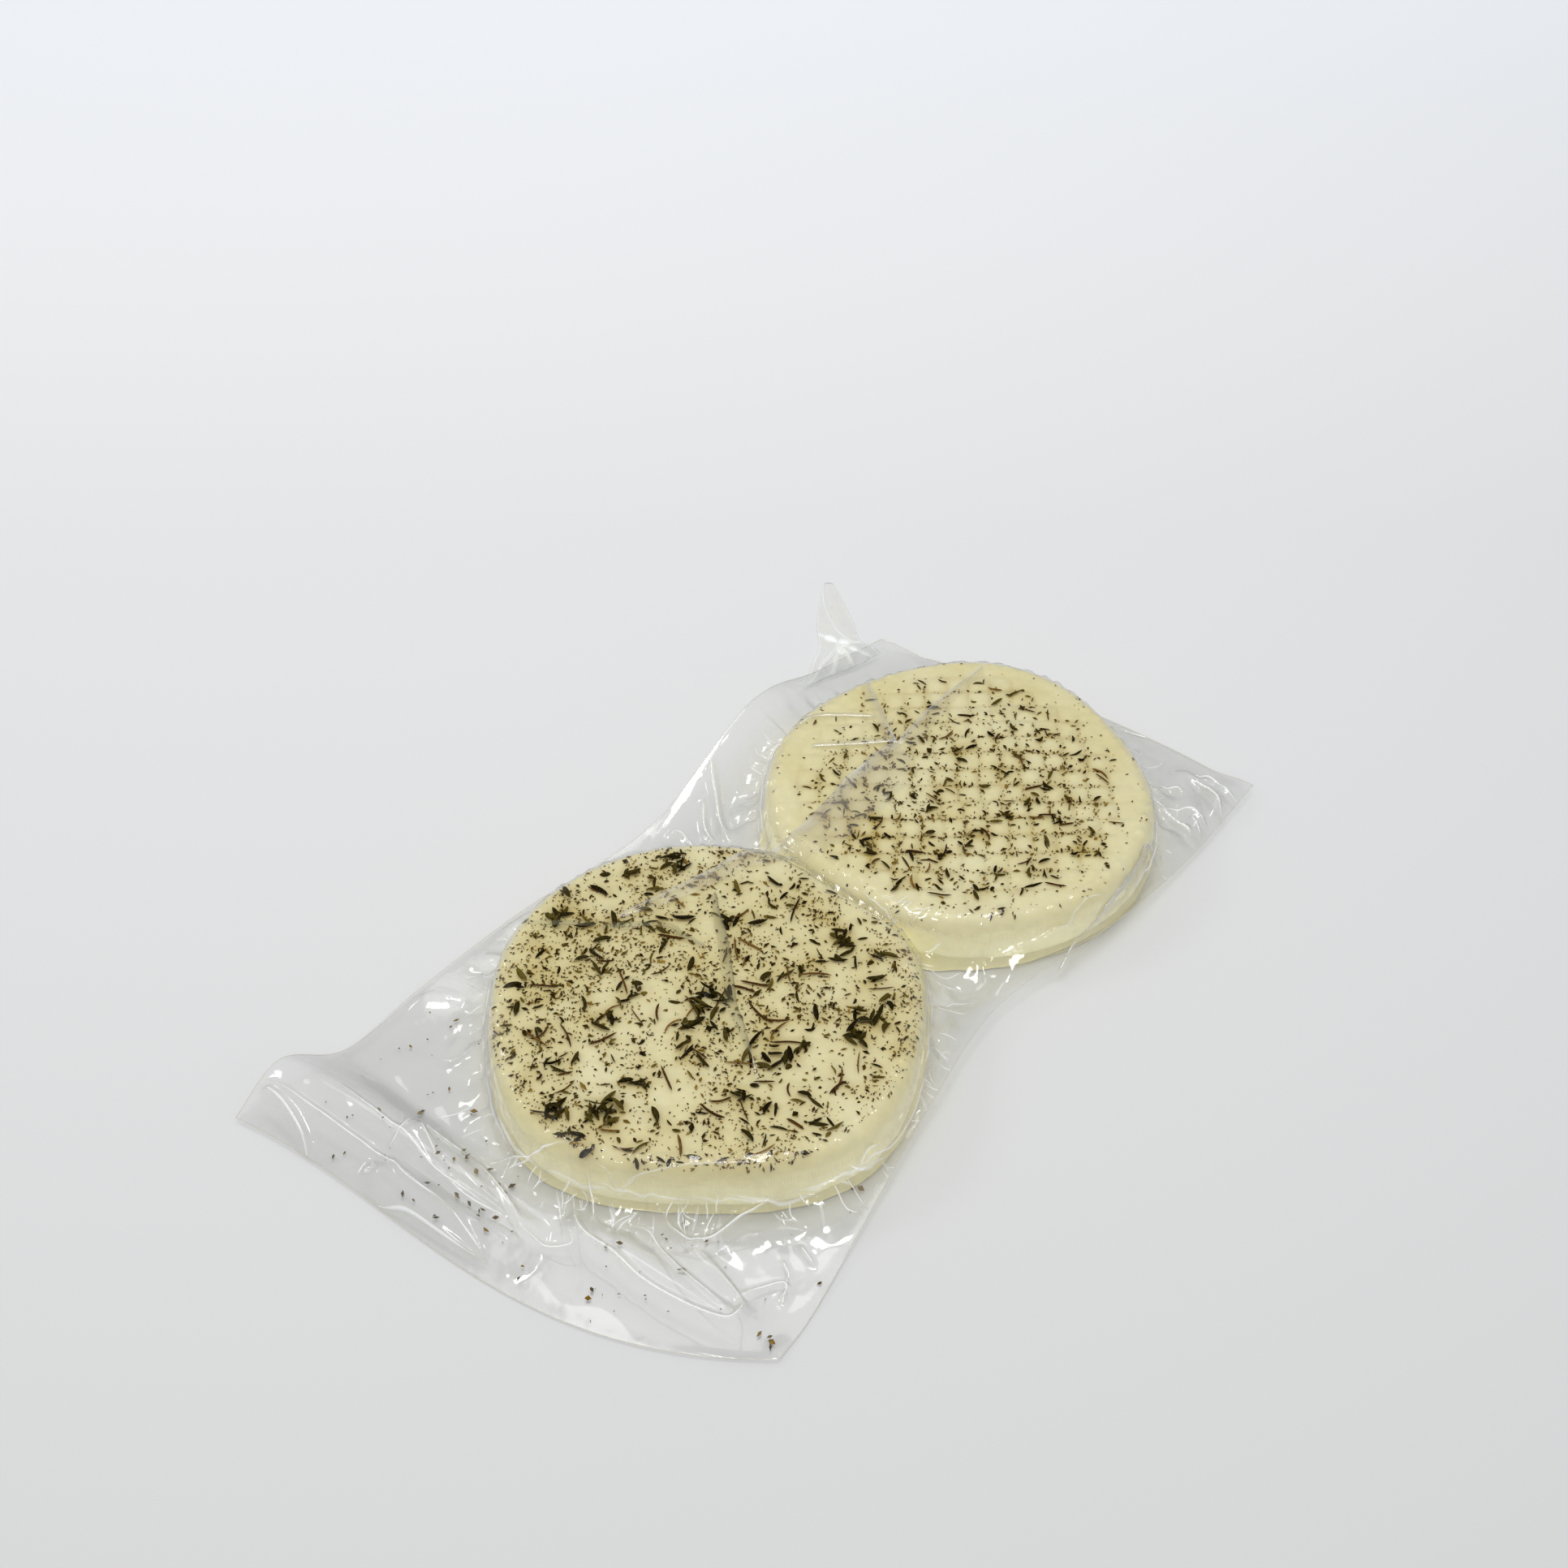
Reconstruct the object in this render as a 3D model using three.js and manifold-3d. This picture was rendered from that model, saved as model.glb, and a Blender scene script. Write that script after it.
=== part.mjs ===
// Saganaki: two round slabs of white cheese strewn with dried thyme, side by side in a clear vacuum pouch.
// Millimetres, +Z up, +X along the pouch. The pouch lies flat and its origin is at the middle of its underside.
import * as THREE from 'three';
import { mergeVertices } from 'three/addons/utils/BufferGeometryUtils.js';
import Module from 'manifold-3d';

const wasm = await Module();
wasm.setup();

// Driving dimensions of the cheese
const SLAB_HEIGHT = 13.2;
const TOP_ROUNDING = 4.5;
const FOOT_ROUNDING = 3;
const TOP_CROWN = 0.6;
const SLAB_SPACING = 95.6;
const PAIR_TURN = -2.4;
const SLAB_SEGMENTS = 64;
// How softly the cut face where the slabs meet runs into the round of the rim
const CUT_SOFTNESS = 0.8;
// Each lobe is [how many round the rim, its height, the direction of its first crest in degrees]
const SLABS = {
  near: { side: -1, radius: 51.4, lobes: [[2, 0.5, 87], [3, 0.7, 51], [4, 1.0, -9], [5, 0.7, -33]] },
  far: { side: 1, radius: 50.1, lobes: [[2, 0.5, 18], [3, 1.0, 21], [4, 0.65, 18], [5, 0.3, 20]] },
};

// Driving dimensions of the pouch
const FILM = 0.6;
const GAP = 0.3;
const TENT_HEIGHT = 6.5;
const TENT_REACH = 7.5;
const CUSP_HEIGHT = 3.5;
const CUSP_REACH = 12;
const NEAR_END_BOW = 12;
const FAR_END_BOW = 6.5;
const SHEET_ROWS = 48;
const SHEET_COLUMNS = 22;
// The pouch's two long edges, from the near end to the far end, one point each at the same station
const RIGHT_EDGE = [
  [-103, -64.5, 0.5], [-92, -63.5, 0], [-76, -60.5, 1], [-56, -56.5, 3], [-32, -52, 5],
  [0, -47.5, 4], [35, -54.5, 5], [70, -56.5, 2], [106, -56, 2.5],
];
const LEFT_EDGE = [
  [-133, 68, 1], [-119, 67.5, 8.5], [-104, 64, 0.5], [-80, 64, 1], [-47, 63, 1],
  [-6, 57, 3], [38, 60, 14], [68, 61, 5], [93, 57, 3],
];
// How far a lifted edge reaches across the sheet, at the near end and along the slabs
const LIFT_REACH_AT_END = 0.6;
const LIFT_REACH_AT_SLABS = 0.12;
// Nothing under a slab is lifted, nor within this of its foot
const LIFT_CLEARANCE = 3;
// Puffed creases in the loose film: [from x, y], [to x, y], height, half width
const CREASES = [
  { from: [-99, -6], to: [-106, -18], height: 2.5, reach: 4 },
  { from: [-107, -14], to: [-104, -54], height: 5, reach: 5.5 },
  { from: [-96, -36], to: [-101, -52], height: 3, reach: 3 },
  { from: [-125, 28], to: [-119, -4], height: 5, reach: 4.5 },
  { from: [-113, 30], to: [-114, -4], height: 4, reach: 4 },
  { from: [-124, 58], to: [-127, 40], height: 2, reach: 5 },
  { from: [97, -40], to: [80, -52], height: 3, reach: 4 },
  { from: [88, -57], to: [99, -46], height: 2.5, reach: 3 },
  { from: [-84, 62], to: [-76, 52], height: 2, reach: 3 },
];
// The far left corner stands up as a tapered fin that turns as it rises: [height, width, twist in degrees, lean across]
const FIN_FOOT = { x: 77, y: 58.5, z: 1.2, turn: -17 };
const FIN_STATIONS = [
  [0, 19, 0, 0], [5, 15, -6, 0.5], [9, 10.5, -16, 1.5], [15, 9, -28, 3], [22, 6, -34, 4.5], [28, 2.5, -36, 5.5],
];
const FIN_ROWS = 12;
const FIN_COLUMNS = 4;
const FIN_THICKNESS = 1;

// Dried thyme: [length, width, height] of one flake of each kind, and how deep it is pressed in
const LEAF = [5, 1.9, 1.1];
const STEM = [7.5, 0.9, 0.9];
const CRUMB = [2.4, 1.5, 0.9];
const PRESSED_IN = 0.35;
const CANDIDATES = 10;
const CLUMP_FLAKES = 3;
// Clumps lie at [x, y, spread] from the slab's centre
const THYME = {
  near: {
    seed: 5,
    clumps: [[-2, -2, 4], [-39, -4, 4], [33, -14, 3], [18, -35, 3], [-45, 3, 3], [27, 34, 3], [-4, 44, 2], [-6, -20, 4]],
    counts: { leaf: 34, stem: 10, crumb: 30 },
    middle: [0, 0],
    reach: [46, 46],
  },
  far: {
    seed: 11,
    clumps: [[-33, 6, 2], [6, -19, 2.5]],
    counts: { leaf: 34, stem: 10, crumb: 34 },
    middle: [-3, -5],
    reach: [39, 36],
  },
};

const CHEESE_COLOUR = 0xf0e8bc;
const FILM_COLOUR = 0xe6e9ea;

const radians = THREE.MathUtils.degToRad;

// Moves a point of the slabs' own frame, whose X runs through both centres, to the pouch's frame
function turnPair(x, y) {
  const turn = radians(PAIR_TURN);
  return [x * Math.cos(turn) - y * Math.sin(turn), x * Math.sin(turn) + y * Math.cos(turn)];
}

function slabCentre(slab) {
  return turnPair(slab.side * SLAB_SPACING / 2, 0);
}

// Rim radius at an angle of the pouch's frame: a circle with lobes, cut straight where the slabs meet
function rimRadius(slab, angle, clearance) {
  let radius = slab.radius;
  for (const [count, height, crest] of slab.lobes) {
    radius += height * Math.cos(count * (angle - radians(crest)));
  }
  const towardsOther = -slab.side * Math.cos(angle - radians(PAIR_TURN));
  const cut = (SLAB_SPACING / 2 - GAP / 2) / Math.max(towardsOther, 0.5);
  const blended = Math.exp(-radius / CUT_SOFTNESS) + Math.exp(-cut / CUT_SOFTNESS);
  return -CUT_SOFTNESS * Math.log(blended) + clearance;
}

function toManifold(geometry) {
  const bare = geometry.clone();
  bare.deleteAttribute('normal');
  bare.deleteAttribute('uv');
  const merged = mergeVertices(bare, 1e-4);
  const vertProperties = new Float32Array(merged.attributes.position.array);
  const triVerts = new Uint32Array(merged.index.array);
  const mesh = new wasm.Mesh({ numProp: 3, vertProperties, triVerts });
  return new wasm.Manifold(mesh);
}

function toGeometry(manifold) {
  const mesh = manifold.getMesh();
  const geometry = new THREE.BufferGeometry();
  geometry.setAttribute('position', new THREE.BufferAttribute(mesh.vertProperties, 3));
  geometry.setIndex(new THREE.BufferAttribute(mesh.triVerts, 1));
  geometry.computeVertexNormals();
  return geometry;
}

// Spins a profile of [inset from the rim, height] points, then moves each point out or in so that the rim
// follows rimRadius, by a share that falls to nothing at the middle
function slabFromProfile(slab, profile, clearance) {
  const points = profile.map(([inset, z]) => new THREE.Vector2(slab.radius - inset, z));
  const geometry = new THREE.LatheGeometry(points, SLAB_SEGMENTS);
  geometry.rotateX(Math.PI / 2);
  const position = geometry.attributes.position;
  const [centreX, centreY] = slabCentre(slab);
  for (let i = 0; i < position.count; i++) {
    const distance = Math.hypot(position.getX(i), position.getY(i));
    const angle = Math.atan2(position.getY(i), position.getX(i));
    const share = distance / slab.radius;
    const moved = distance + (rimRadius(slab, angle, clearance) - slab.radius) * share * share;
    position.setXY(i, centreX + moved * Math.cos(angle), centreY + moved * Math.sin(angle));
  }
  return toManifold(geometry);
}

function arc(inset, z, radius, fromDegrees, toDegrees, steps) {
  const points = [];
  for (let i = 0; i <= steps; i++) {
    const angle = radians(fromDegrees + (toDegrees - fromDegrees) * i / steps);
    points.push([inset - radius * Math.cos(angle), z + radius * Math.sin(angle)]);
  }
  return points;
}

const SLAB_FLOOR = FILM + GAP;
const SLAB_TOP = SLAB_FLOOR + SLAB_HEIGHT;

// Height of a slab's upper face at a distance from its centre: a shallow crown
function crownHeight(slab, distance) {
  const share = Math.min(distance / (slab.radius - TOP_ROUNDING), 1);
  return SLAB_TOP + TOP_CROWN * (1 - share * share);
}

function slabProfile(slab) {
  const flat = slab.radius - TOP_ROUNDING;
  const crown = [0, 0.6].map((share) => [slab.radius - share * flat, crownHeight(slab, share * flat)]);
  return [
    [slab.radius, SLAB_FLOOR],
    ...arc(FOOT_ROUNDING, SLAB_FLOOR + FOOT_ROUNDING, FOOT_ROUNDING, -90, 0, 2),
    ...arc(TOP_ROUNDING, SLAB_TOP - TOP_ROUNDING, TOP_ROUNDING, 0, 90, 3),
    ...crown.reverse(),
  ];
}

// A repeatable stream of numbers from 0 to 1
function randomStream(seed) {
  let state = seed;
  return () => {
    state = (state * 1664525 + 1013904223) % 4294967296;
    return state / 4294967296;
  };
}

// One flake: a pointed lozenge laid on the slab at x, y, turned and a little tipped
function flake([length, width, height], x, y, z, turn, tip) {
  const small = length < CRUMB[0] * 1.3;
  const geometry = small ? new THREE.OctahedronGeometry(1, 0) : new THREE.IcosahedronGeometry(1, 0);
  geometry.scale(length / 2, width / 2, height);
  geometry.rotateX(tip);
  geometry.rotateZ(turn);
  geometry.translate(x, y, z - PRESSED_IN * height);
  return toManifold(geometry);
}

// Spreads flakes evenly: of some random places, each flake takes the one farthest from those before it
function thymeFlakes(slab, thyme) {
  const random = randomStream(thyme.seed);
  const [centreX, centreY] = slabCentre(slab);
  const taken = [];
  const flakes = [];
  const lay = (size, x, y) => {
    const z = crownHeight(slab, Math.hypot(x, y));
    const scaled = size.map((value) => value * (0.75 + 0.5 * random()));
    const turn = random() * Math.PI;
    const tip = (random() - 0.5) * 0.8;
    flakes.push(flake(scaled, centreX + x, centreY + y, z, turn, tip));
  };
  for (const [clumpX, clumpY, spread] of thyme.clumps) {
    for (let i = 0; i < CLUMP_FLAKES; i++) {
      const angle = i * 2 * Math.PI / CLUMP_FLAKES + random();
      const reach = spread * Math.sqrt(random());
      const leaf = [LEAF[0] * 1.1, LEAF[1] * 1.2, LEAF[2] * 1.3];
      lay(leaf, clumpX + reach * Math.cos(angle), clumpY + reach * Math.sin(angle));
    }
    taken.push([clumpX, clumpY]);
  }
  const scatter = (size, count) => {
    for (let i = 0; i < count; i++) {
      let best = null;
      let bestRoom = -1;
      for (let j = 0; j < CANDIDATES; j++) {
        const angle = random() * 2 * Math.PI;
        const reach = Math.sqrt(random());
        const x = thyme.middle[0] + thyme.reach[0] * reach * Math.cos(angle);
        const y = thyme.middle[1] + thyme.reach[1] * reach * Math.sin(angle);
        const room = Math.min(...taken.map(([a, b]) => Math.hypot(a - x, b - y)), Infinity);
        if (room > bestRoom && clearOfRim(slab, x, y)) {
          best = [x, y];
          bestRoom = room;
        }
      }
      if (best) {
        taken.push(best);
        lay(size, ...best);
      }
    }
  };
  scatter(STEM, thyme.counts.stem);
  scatter(LEAF, thyme.counts.leaf);
  scatter(CRUMB, thyme.counts.crumb);
  return flakes;
}

// True where a flake centred at x, y from the slab's centre stays on its upper face
function clearOfRim(slab, x, y) {
  const rim = rimRadius(slab, Math.atan2(y, x), 0);
  return Math.hypot(x, y) < rim - TOP_ROUNDING - STEM[0] / 3;
}

function cheeseSlab(slab, thyme) {
  const body = slabFromProfile(slab, slabProfile(slab), 0);
  const joined = thymeFlakes(slab, thyme).reduce((solid, one) => solid.add(one), body);
  return toGeometry(joined);
}

// A closed thin solid from two faces given over a grid of rows and columns, both split alike
function sheetSolid(rows, columns, upperPoint, lowerPoint) {
  const vertices = [];
  const triangles = [];
  const count = (rows + 1) * (columns + 1);
  for (const point of [upperPoint, lowerPoint]) {
    for (let i = 0; i <= rows; i++) {
      for (let j = 0; j <= columns; j++) {
        vertices.push(...point(i / rows, j / columns));
      }
    }
  }
  const at = (i, j) => i * (columns + 1) + j;
  const quad = (a, b, c, d) => triangles.push(a, b, c, a, c, d);
  for (let i = 0; i < rows; i++) {
    for (let j = 0; j < columns; j++) {
      quad(at(i, j), at(i + 1, j), at(i + 1, j + 1), at(i, j + 1));
      quad(at(i, j) + count, at(i, j + 1) + count, at(i + 1, j + 1) + count, at(i + 1, j) + count);
    }
    quad(at(i, 0), at(i, 0) + count, at(i + 1, 0) + count, at(i + 1, 0));
    quad(at(i, columns), at(i + 1, columns), at(i + 1, columns) + count, at(i, columns) + count);
  }
  for (let j = 0; j < columns; j++) {
    quad(at(0, j), at(0, j + 1), at(0, j + 1) + count, at(0, j) + count);
    quad(at(rows, j), at(rows, j) + count, at(rows, j + 1) + count, at(rows, j + 1));
  }
  const geometry = new THREE.BufferGeometry();
  geometry.setAttribute('position', new THREE.Float32BufferAttribute(vertices, 3));
  geometry.setIndex(triangles);
  return toManifold(geometry);
}

function edgeCurve(points) {
  return new THREE.CatmullRomCurve3(points.map((point) => new THREE.Vector3(...point)), false, 'catmullrom', 0.5);
}

const rightEdge = edgeCurve(RIGHT_EDGE);
const leftEdge = edgeCurve(LEFT_EDGE);

// Where the sheet lies at a share along it and a share across it, with the height its lifted edges give it
function sheetPlace(along, across) {
  const right = rightEdge.getPoint(along);
  const left = leftEdge.getPoint(along);
  const place = right.clone().lerp(left, across);
  const middle = 4 * across * (1 - across);
  const skewed = 6.75 * across * Math.pow(1 - across, 2);
  place.x -= NEAR_END_BOW * skewed * Math.pow(Math.max(1 - along / 0.2, 0), 2);
  place.x += FAR_END_BOW * middle * Math.pow(Math.max(1 - (1 - along) / 0.1, 0), 2);
  const toSlabs = THREE.MathUtils.smoothstep(along, 0.1, 0.25);
  const reach = THREE.MathUtils.lerp(LIFT_REACH_AT_END, LIFT_REACH_AT_SLABS, toSlabs);
  const fromRight = 1 - THREE.MathUtils.smoothstep(across, 0, reach);
  const fromLeft = 1 - THREE.MathUtils.smoothstep(1 - across, 0, reach);
  const clear = THREE.MathUtils.smoothstep(nearestFoot(place.x, place.y), 0, LIFT_CLEARANCE);
  place.z = clear * (Math.max(right.z, 0) * fromRight + Math.max(left.z, 0) * fromLeft);
  return place;
}

// Distance from a slab's foot, 0 under the slab
function footDistance(slab, x, y) {
  const [centreX, centreY] = slabCentre(slab);
  const angle = Math.atan2(y - centreY, x - centreX);
  return Math.max(Math.hypot(x - centreX, y - centreY) - rimRadius(slab, angle, 0), 0);
}

function nearestFoot(x, y) {
  return Math.min(footDistance(SLABS.near, x, y), footDistance(SLABS.far, x, y));
}

function creaseHeight(x, y) {
  let height = 0;
  for (const { from, to, height: crest, reach } of CREASES) {
    const start = new THREE.Vector2(...from);
    const run = new THREE.Vector2(...to).sub(start);
    const point = new THREE.Vector2(x, y).sub(start);
    const share = point.dot(run) / run.lengthSq();
    const along = THREE.MathUtils.clamp(share, 0, 1);
    const off = point.sub(run.multiplyScalar(along)).length();
    height = Math.max(height, crest * Math.exp(-Math.pow(off / reach, 2)));
  }
  return height;
}

// How far the upper film stands above the lower one: it tents up to the slabs and puffs at its creases
function filmRise(x, y) {
  const near = footDistance(SLABS.near, x, y);
  const far = footDistance(SLABS.far, x, y);
  const tent = TENT_HEIGHT * Math.exp(-Math.pow(nearestFoot(x, y) / TENT_REACH, 2));
  const cusp = CUSP_HEIGHT * Math.exp(-Math.pow((near + far) / CUSP_REACH, 2));
  return FILM + Math.max(tent + cusp, creaseHeight(x, y));
}

function upperFilm(along, across) {
  const place = sheetPlace(along, across);
  const rim = Math.min(across, 1 - across, along * 2, (1 - along) * 2);
  const seam = THREE.MathUtils.smoothstep(rim, 0, 0.05);
  const rise = THREE.MathUtils.lerp(FILM, filmRise(place.x, place.y), seam);
  return [place.x, place.y, place.z + rise];
}

function lowerFilm(along, across) {
  const place = sheetPlace(along, across);
  return [place.x, place.y, place.z];
}

// A ribbon that stands on the sheet and turns and narrows towards its tip
function fin() {
  const curve = edgeCurve(FIN_STATIONS.map(([height, width, twist]) => [height, width, twist]));
  const leans = edgeCurve(FIN_STATIONS.map(([height, , , lean]) => [height, lean, 0]));
  const facePoint = (side) => (along, across) => {
    const { x: height, y: width, z: twist } = curve.getPoint(along);
    const lean = leans.getPoint(along).y;
    const turn = radians(FIN_FOOT.turn + twist);
    const offset = (across - 0.5) * width;
    const skin = side * FIN_THICKNESS / 2;
    return [
      FIN_FOOT.x + offset * Math.cos(turn) - skin * Math.sin(turn),
      FIN_FOOT.y + lean + offset * Math.sin(turn) + skin * Math.cos(turn),
      FIN_FOOT.z + height,
    ];
  };
  return sheetSolid(FIN_ROWS, FIN_COLUMNS, facePoint(1), facePoint(-1));
}

// The hollow that a slab sits in: its own outline grown by the gap, open at the top
function pocket(slab) {
  const top = SLAB_TOP * 3;
  const profile = [
    [slab.radius, FILM],
    ...arc(FOOT_ROUNDING, FILM + FOOT_ROUNDING, FOOT_ROUNDING, -90, 0, 2),
    [0, top],
    [slab.radius, top],
  ];
  return slabFromProfile(slab, profile, GAP);
}

function filmPouch() {
  const sheet = sheetSolid(SHEET_ROWS, SHEET_COLUMNS, upperFilm, lowerFilm);
  const whole = sheet.add(fin());
  return toGeometry(whole.subtract(pocket(SLABS.near)).subtract(pocket(SLABS.far)));
}

function node(name, geometry, colour, roughness) {
  const material = new THREE.MeshStandardMaterial({ color: colour, roughness, metalness: 0 });
  const mesh = new THREE.Mesh(geometry, material);
  mesh.name = name;
  return mesh;
}

const pack = new THREE.Group();
pack.add(node('film_pouch', filmPouch(), FILM_COLOUR, 0.1));
pack.add(node('cheese_round_near', cheeseSlab(SLABS.near, THYME.near), CHEESE_COLOUR, 0.5));
pack.add(node('cheese_round_far', cheeseSlab(SLABS.far, THYME.far), CHEESE_COLOUR, 0.5));

// The origin goes to the middle of the underside
const box = new THREE.Box3().setFromObject(pack);
const centre = box.getCenter(new THREE.Vector3());
pack.position.set(-centre.x, -centre.y, -box.min.z);

export default pack;
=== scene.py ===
"""Saganaki: two round slabs of white cheese strewn with dried thyme, side by side in a clear vacuum pouch.

Every shape is worked out in millimetres of the pouch's own plan, +X along the pouch and +Z up, and is moved
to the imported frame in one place, to_frame.
"""
import functools
import math

import bpy
import numpy as np
from bpy.props import FloatProperty, FloatVectorProperty, IntProperty, PointerProperty
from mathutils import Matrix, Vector
from mathutils.bvhtree import BVHTree


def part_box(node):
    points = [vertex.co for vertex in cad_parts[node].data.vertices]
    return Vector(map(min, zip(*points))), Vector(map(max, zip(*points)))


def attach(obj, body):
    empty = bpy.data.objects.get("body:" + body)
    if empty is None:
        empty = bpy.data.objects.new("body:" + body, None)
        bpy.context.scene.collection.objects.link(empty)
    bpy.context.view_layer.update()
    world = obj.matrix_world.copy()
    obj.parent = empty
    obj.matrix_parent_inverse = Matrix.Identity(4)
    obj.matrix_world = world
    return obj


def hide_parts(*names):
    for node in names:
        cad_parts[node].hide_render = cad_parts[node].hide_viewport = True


bl_info = {
    "name": "Saganaki in a vacuum pouch",
    "version": (1, 0, 0),
    "blender": (4, 5, 0),
    "location": "3D View > Sidebar > Saganaki",
    "description": "Two thyme-strewn slabs of cheese in a clear vacuum pouch, as numpy surfaces",
    "category": "Add Mesh",
}

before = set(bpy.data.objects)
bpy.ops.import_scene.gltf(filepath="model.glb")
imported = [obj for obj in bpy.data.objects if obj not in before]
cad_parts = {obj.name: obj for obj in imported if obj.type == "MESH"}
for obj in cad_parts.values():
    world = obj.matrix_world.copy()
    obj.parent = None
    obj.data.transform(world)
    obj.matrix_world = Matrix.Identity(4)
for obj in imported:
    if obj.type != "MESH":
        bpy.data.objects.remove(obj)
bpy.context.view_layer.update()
MM = 0.001

# The slabs: side of the pair, rim radius, lobes as [how many round the rim, height, direction of one crest]
SLABS = {
    "near": {"side": -1, "radius": 51.4, "lobes": [[2, 0.5, 87], [3, 0.7, 51], [4, 1.0, -9], [5, 0.7, -33]]},
    "far": {"side": 1, "radius": 50.1, "lobes": [[2, 0.5, 18], [3, 1.0, 21], [4, 0.65, 18], [5, 0.3, 20]]},
}
SLAB_SPACING = 95.6
PAIR_TURN = math.radians(-2.4)
CUT_SOFTNESS = 0.8
GAP = 0.3
SLAB_FLOOR = 0.9
SLAB_TOP = 14.1
TOP_ROUNDING = 4.5
FOOT_ROUNDING = 3.0
TOP_CROWN = 0.6

# Relief of a slab's upper face: size and height of its dents, from slow ones to fine curd, and seed
RELIEF = [(17, 0.5, 3), (7, 0.22, 5), (1.7, 0.05, 8)]
# Upright dents in its wall: how many in a radian, how many in a millimetre of height, depth and seed
WALL_DENTS = [(16, 0.35, 0.7, 12), (41, 0.5, 0.35, 15)]
WALL_BULGE = 0.35
WALL_INSET = 0.4

# Rings of a slab's grid over its top, round each rounding, down its wall and under it, and columns round it
TOP_RINGS, ROUNDING_RINGS, WALL_RINGS, UNDER_RINGS = 92, 15, 12, 14
SLAB_COLUMNS = 440
TOP_POLE_RING = 0.6
UNDER_POLE_RING = 0.8

# Stains stay above the first height, and between it and the second the wall's colour, brightened with painted
# light, turns into the top's and the wall's painted glow fades out
STAINED_ABOVE = 8
WALL_BELOW = 13.6
MOST_STAIN = 0.8


# The pouch's two long edges, from the near end to the far end: x, y, height
RIGHT_EDGE = [
    [-103, -64.5, 0.5], [-92, -63.5, 0], [-76, -60.5, 1], [-56, -56.5, 3], [-32, -52, 5],
    [0, -47.5, 4], [35, -54.5, 5], [70, -56.5, 2], [106, -56, 2.5],
]
LEFT_EDGE = [
    [-133, 68, 1], [-119, 67.5, 8.5], [-104, 64, 0.5], [-80, 64, 1], [-47, 63, 1],
    [-6, 57, 3], [38, 60, 14], [68, 61, 5], [93, 57, 3],
]
NEAR_END_BOW = 12.0
FAR_END_BOW = 6.5
# Share of the pouch's length over which each end bows
NEAR_BOW_SHARE = 0.2
FAR_BOW_SHARE = 0.1
# Share of its width over which a lifted edge comes down: at the loose near end, and beside the slabs
LIFT_REACH = (0.6, 0.12)
SHEET = 0.6
TENT_HEIGHT = 6.5
TENT_REACH = 7.5
CUSP_HEIGHT = 3.5
CUSP_REACH = 12.0

# The film's tent: pleats in a radian, and in a radian of its tight shoulder, and how they wander outwards
TENT_PLEATS = 9.5
SHOULDER_PLEATS = 21
PLEAT_WANDER = 0.02
# Past the tent: crumples, how far from the foot they are highest and how far they reach; slack; broad swells
CRUMPLE_HEIGHT = 1.7
CRUMPLE_AT = 4
CRUMPLE_REACH = 7
SLACK_HEIGHT = 0.9
SWELL_HEIGHT = 1.6
FOLD_GAIN = 1.35
# Over the cheese: the film's gap, its slight waves and its wrinkles on the rounded rim
SKIN_GAP = 0.16
SKIN_WAVES = 0.05
RIM_WRINKLES = 0.7

# Points of each film's grid along and across the pouch, of the standing corner and of a ring of whey
FILM_GRID = (404, 226)
UNDER_GRID = (150, 84)
FIN_GRID = (110, 72)
WHEY_GRID = (7, 360)
EDGE_RADIUS = 0.12
EDGE_SIDES = 6

# Puffed creases of the loose film: from, to, height, half width
CREASES = [
    [(-99, -6), (-106, -18), 2.5, 4.0],
    [(-107, -14), (-104, -54), 5.0, 5.5],
    [(-96, -36), (-101, -52), 3.0, 3.0],
    [(-125, 28), (-119, -4), 5.0, 4.5],
    [(-113, 30), (-114, -4), 4.0, 4.0],
    [(-124, 58), (-127, 40), 2.0, 5.0],
    [(97, -40), (80, -52), 3.0, 4.0],
    [(88, -57), (99, -46), 2.5, 3.0],
    [(-84, 62), (-76, 52), 2.0, 3.0],
]
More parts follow.
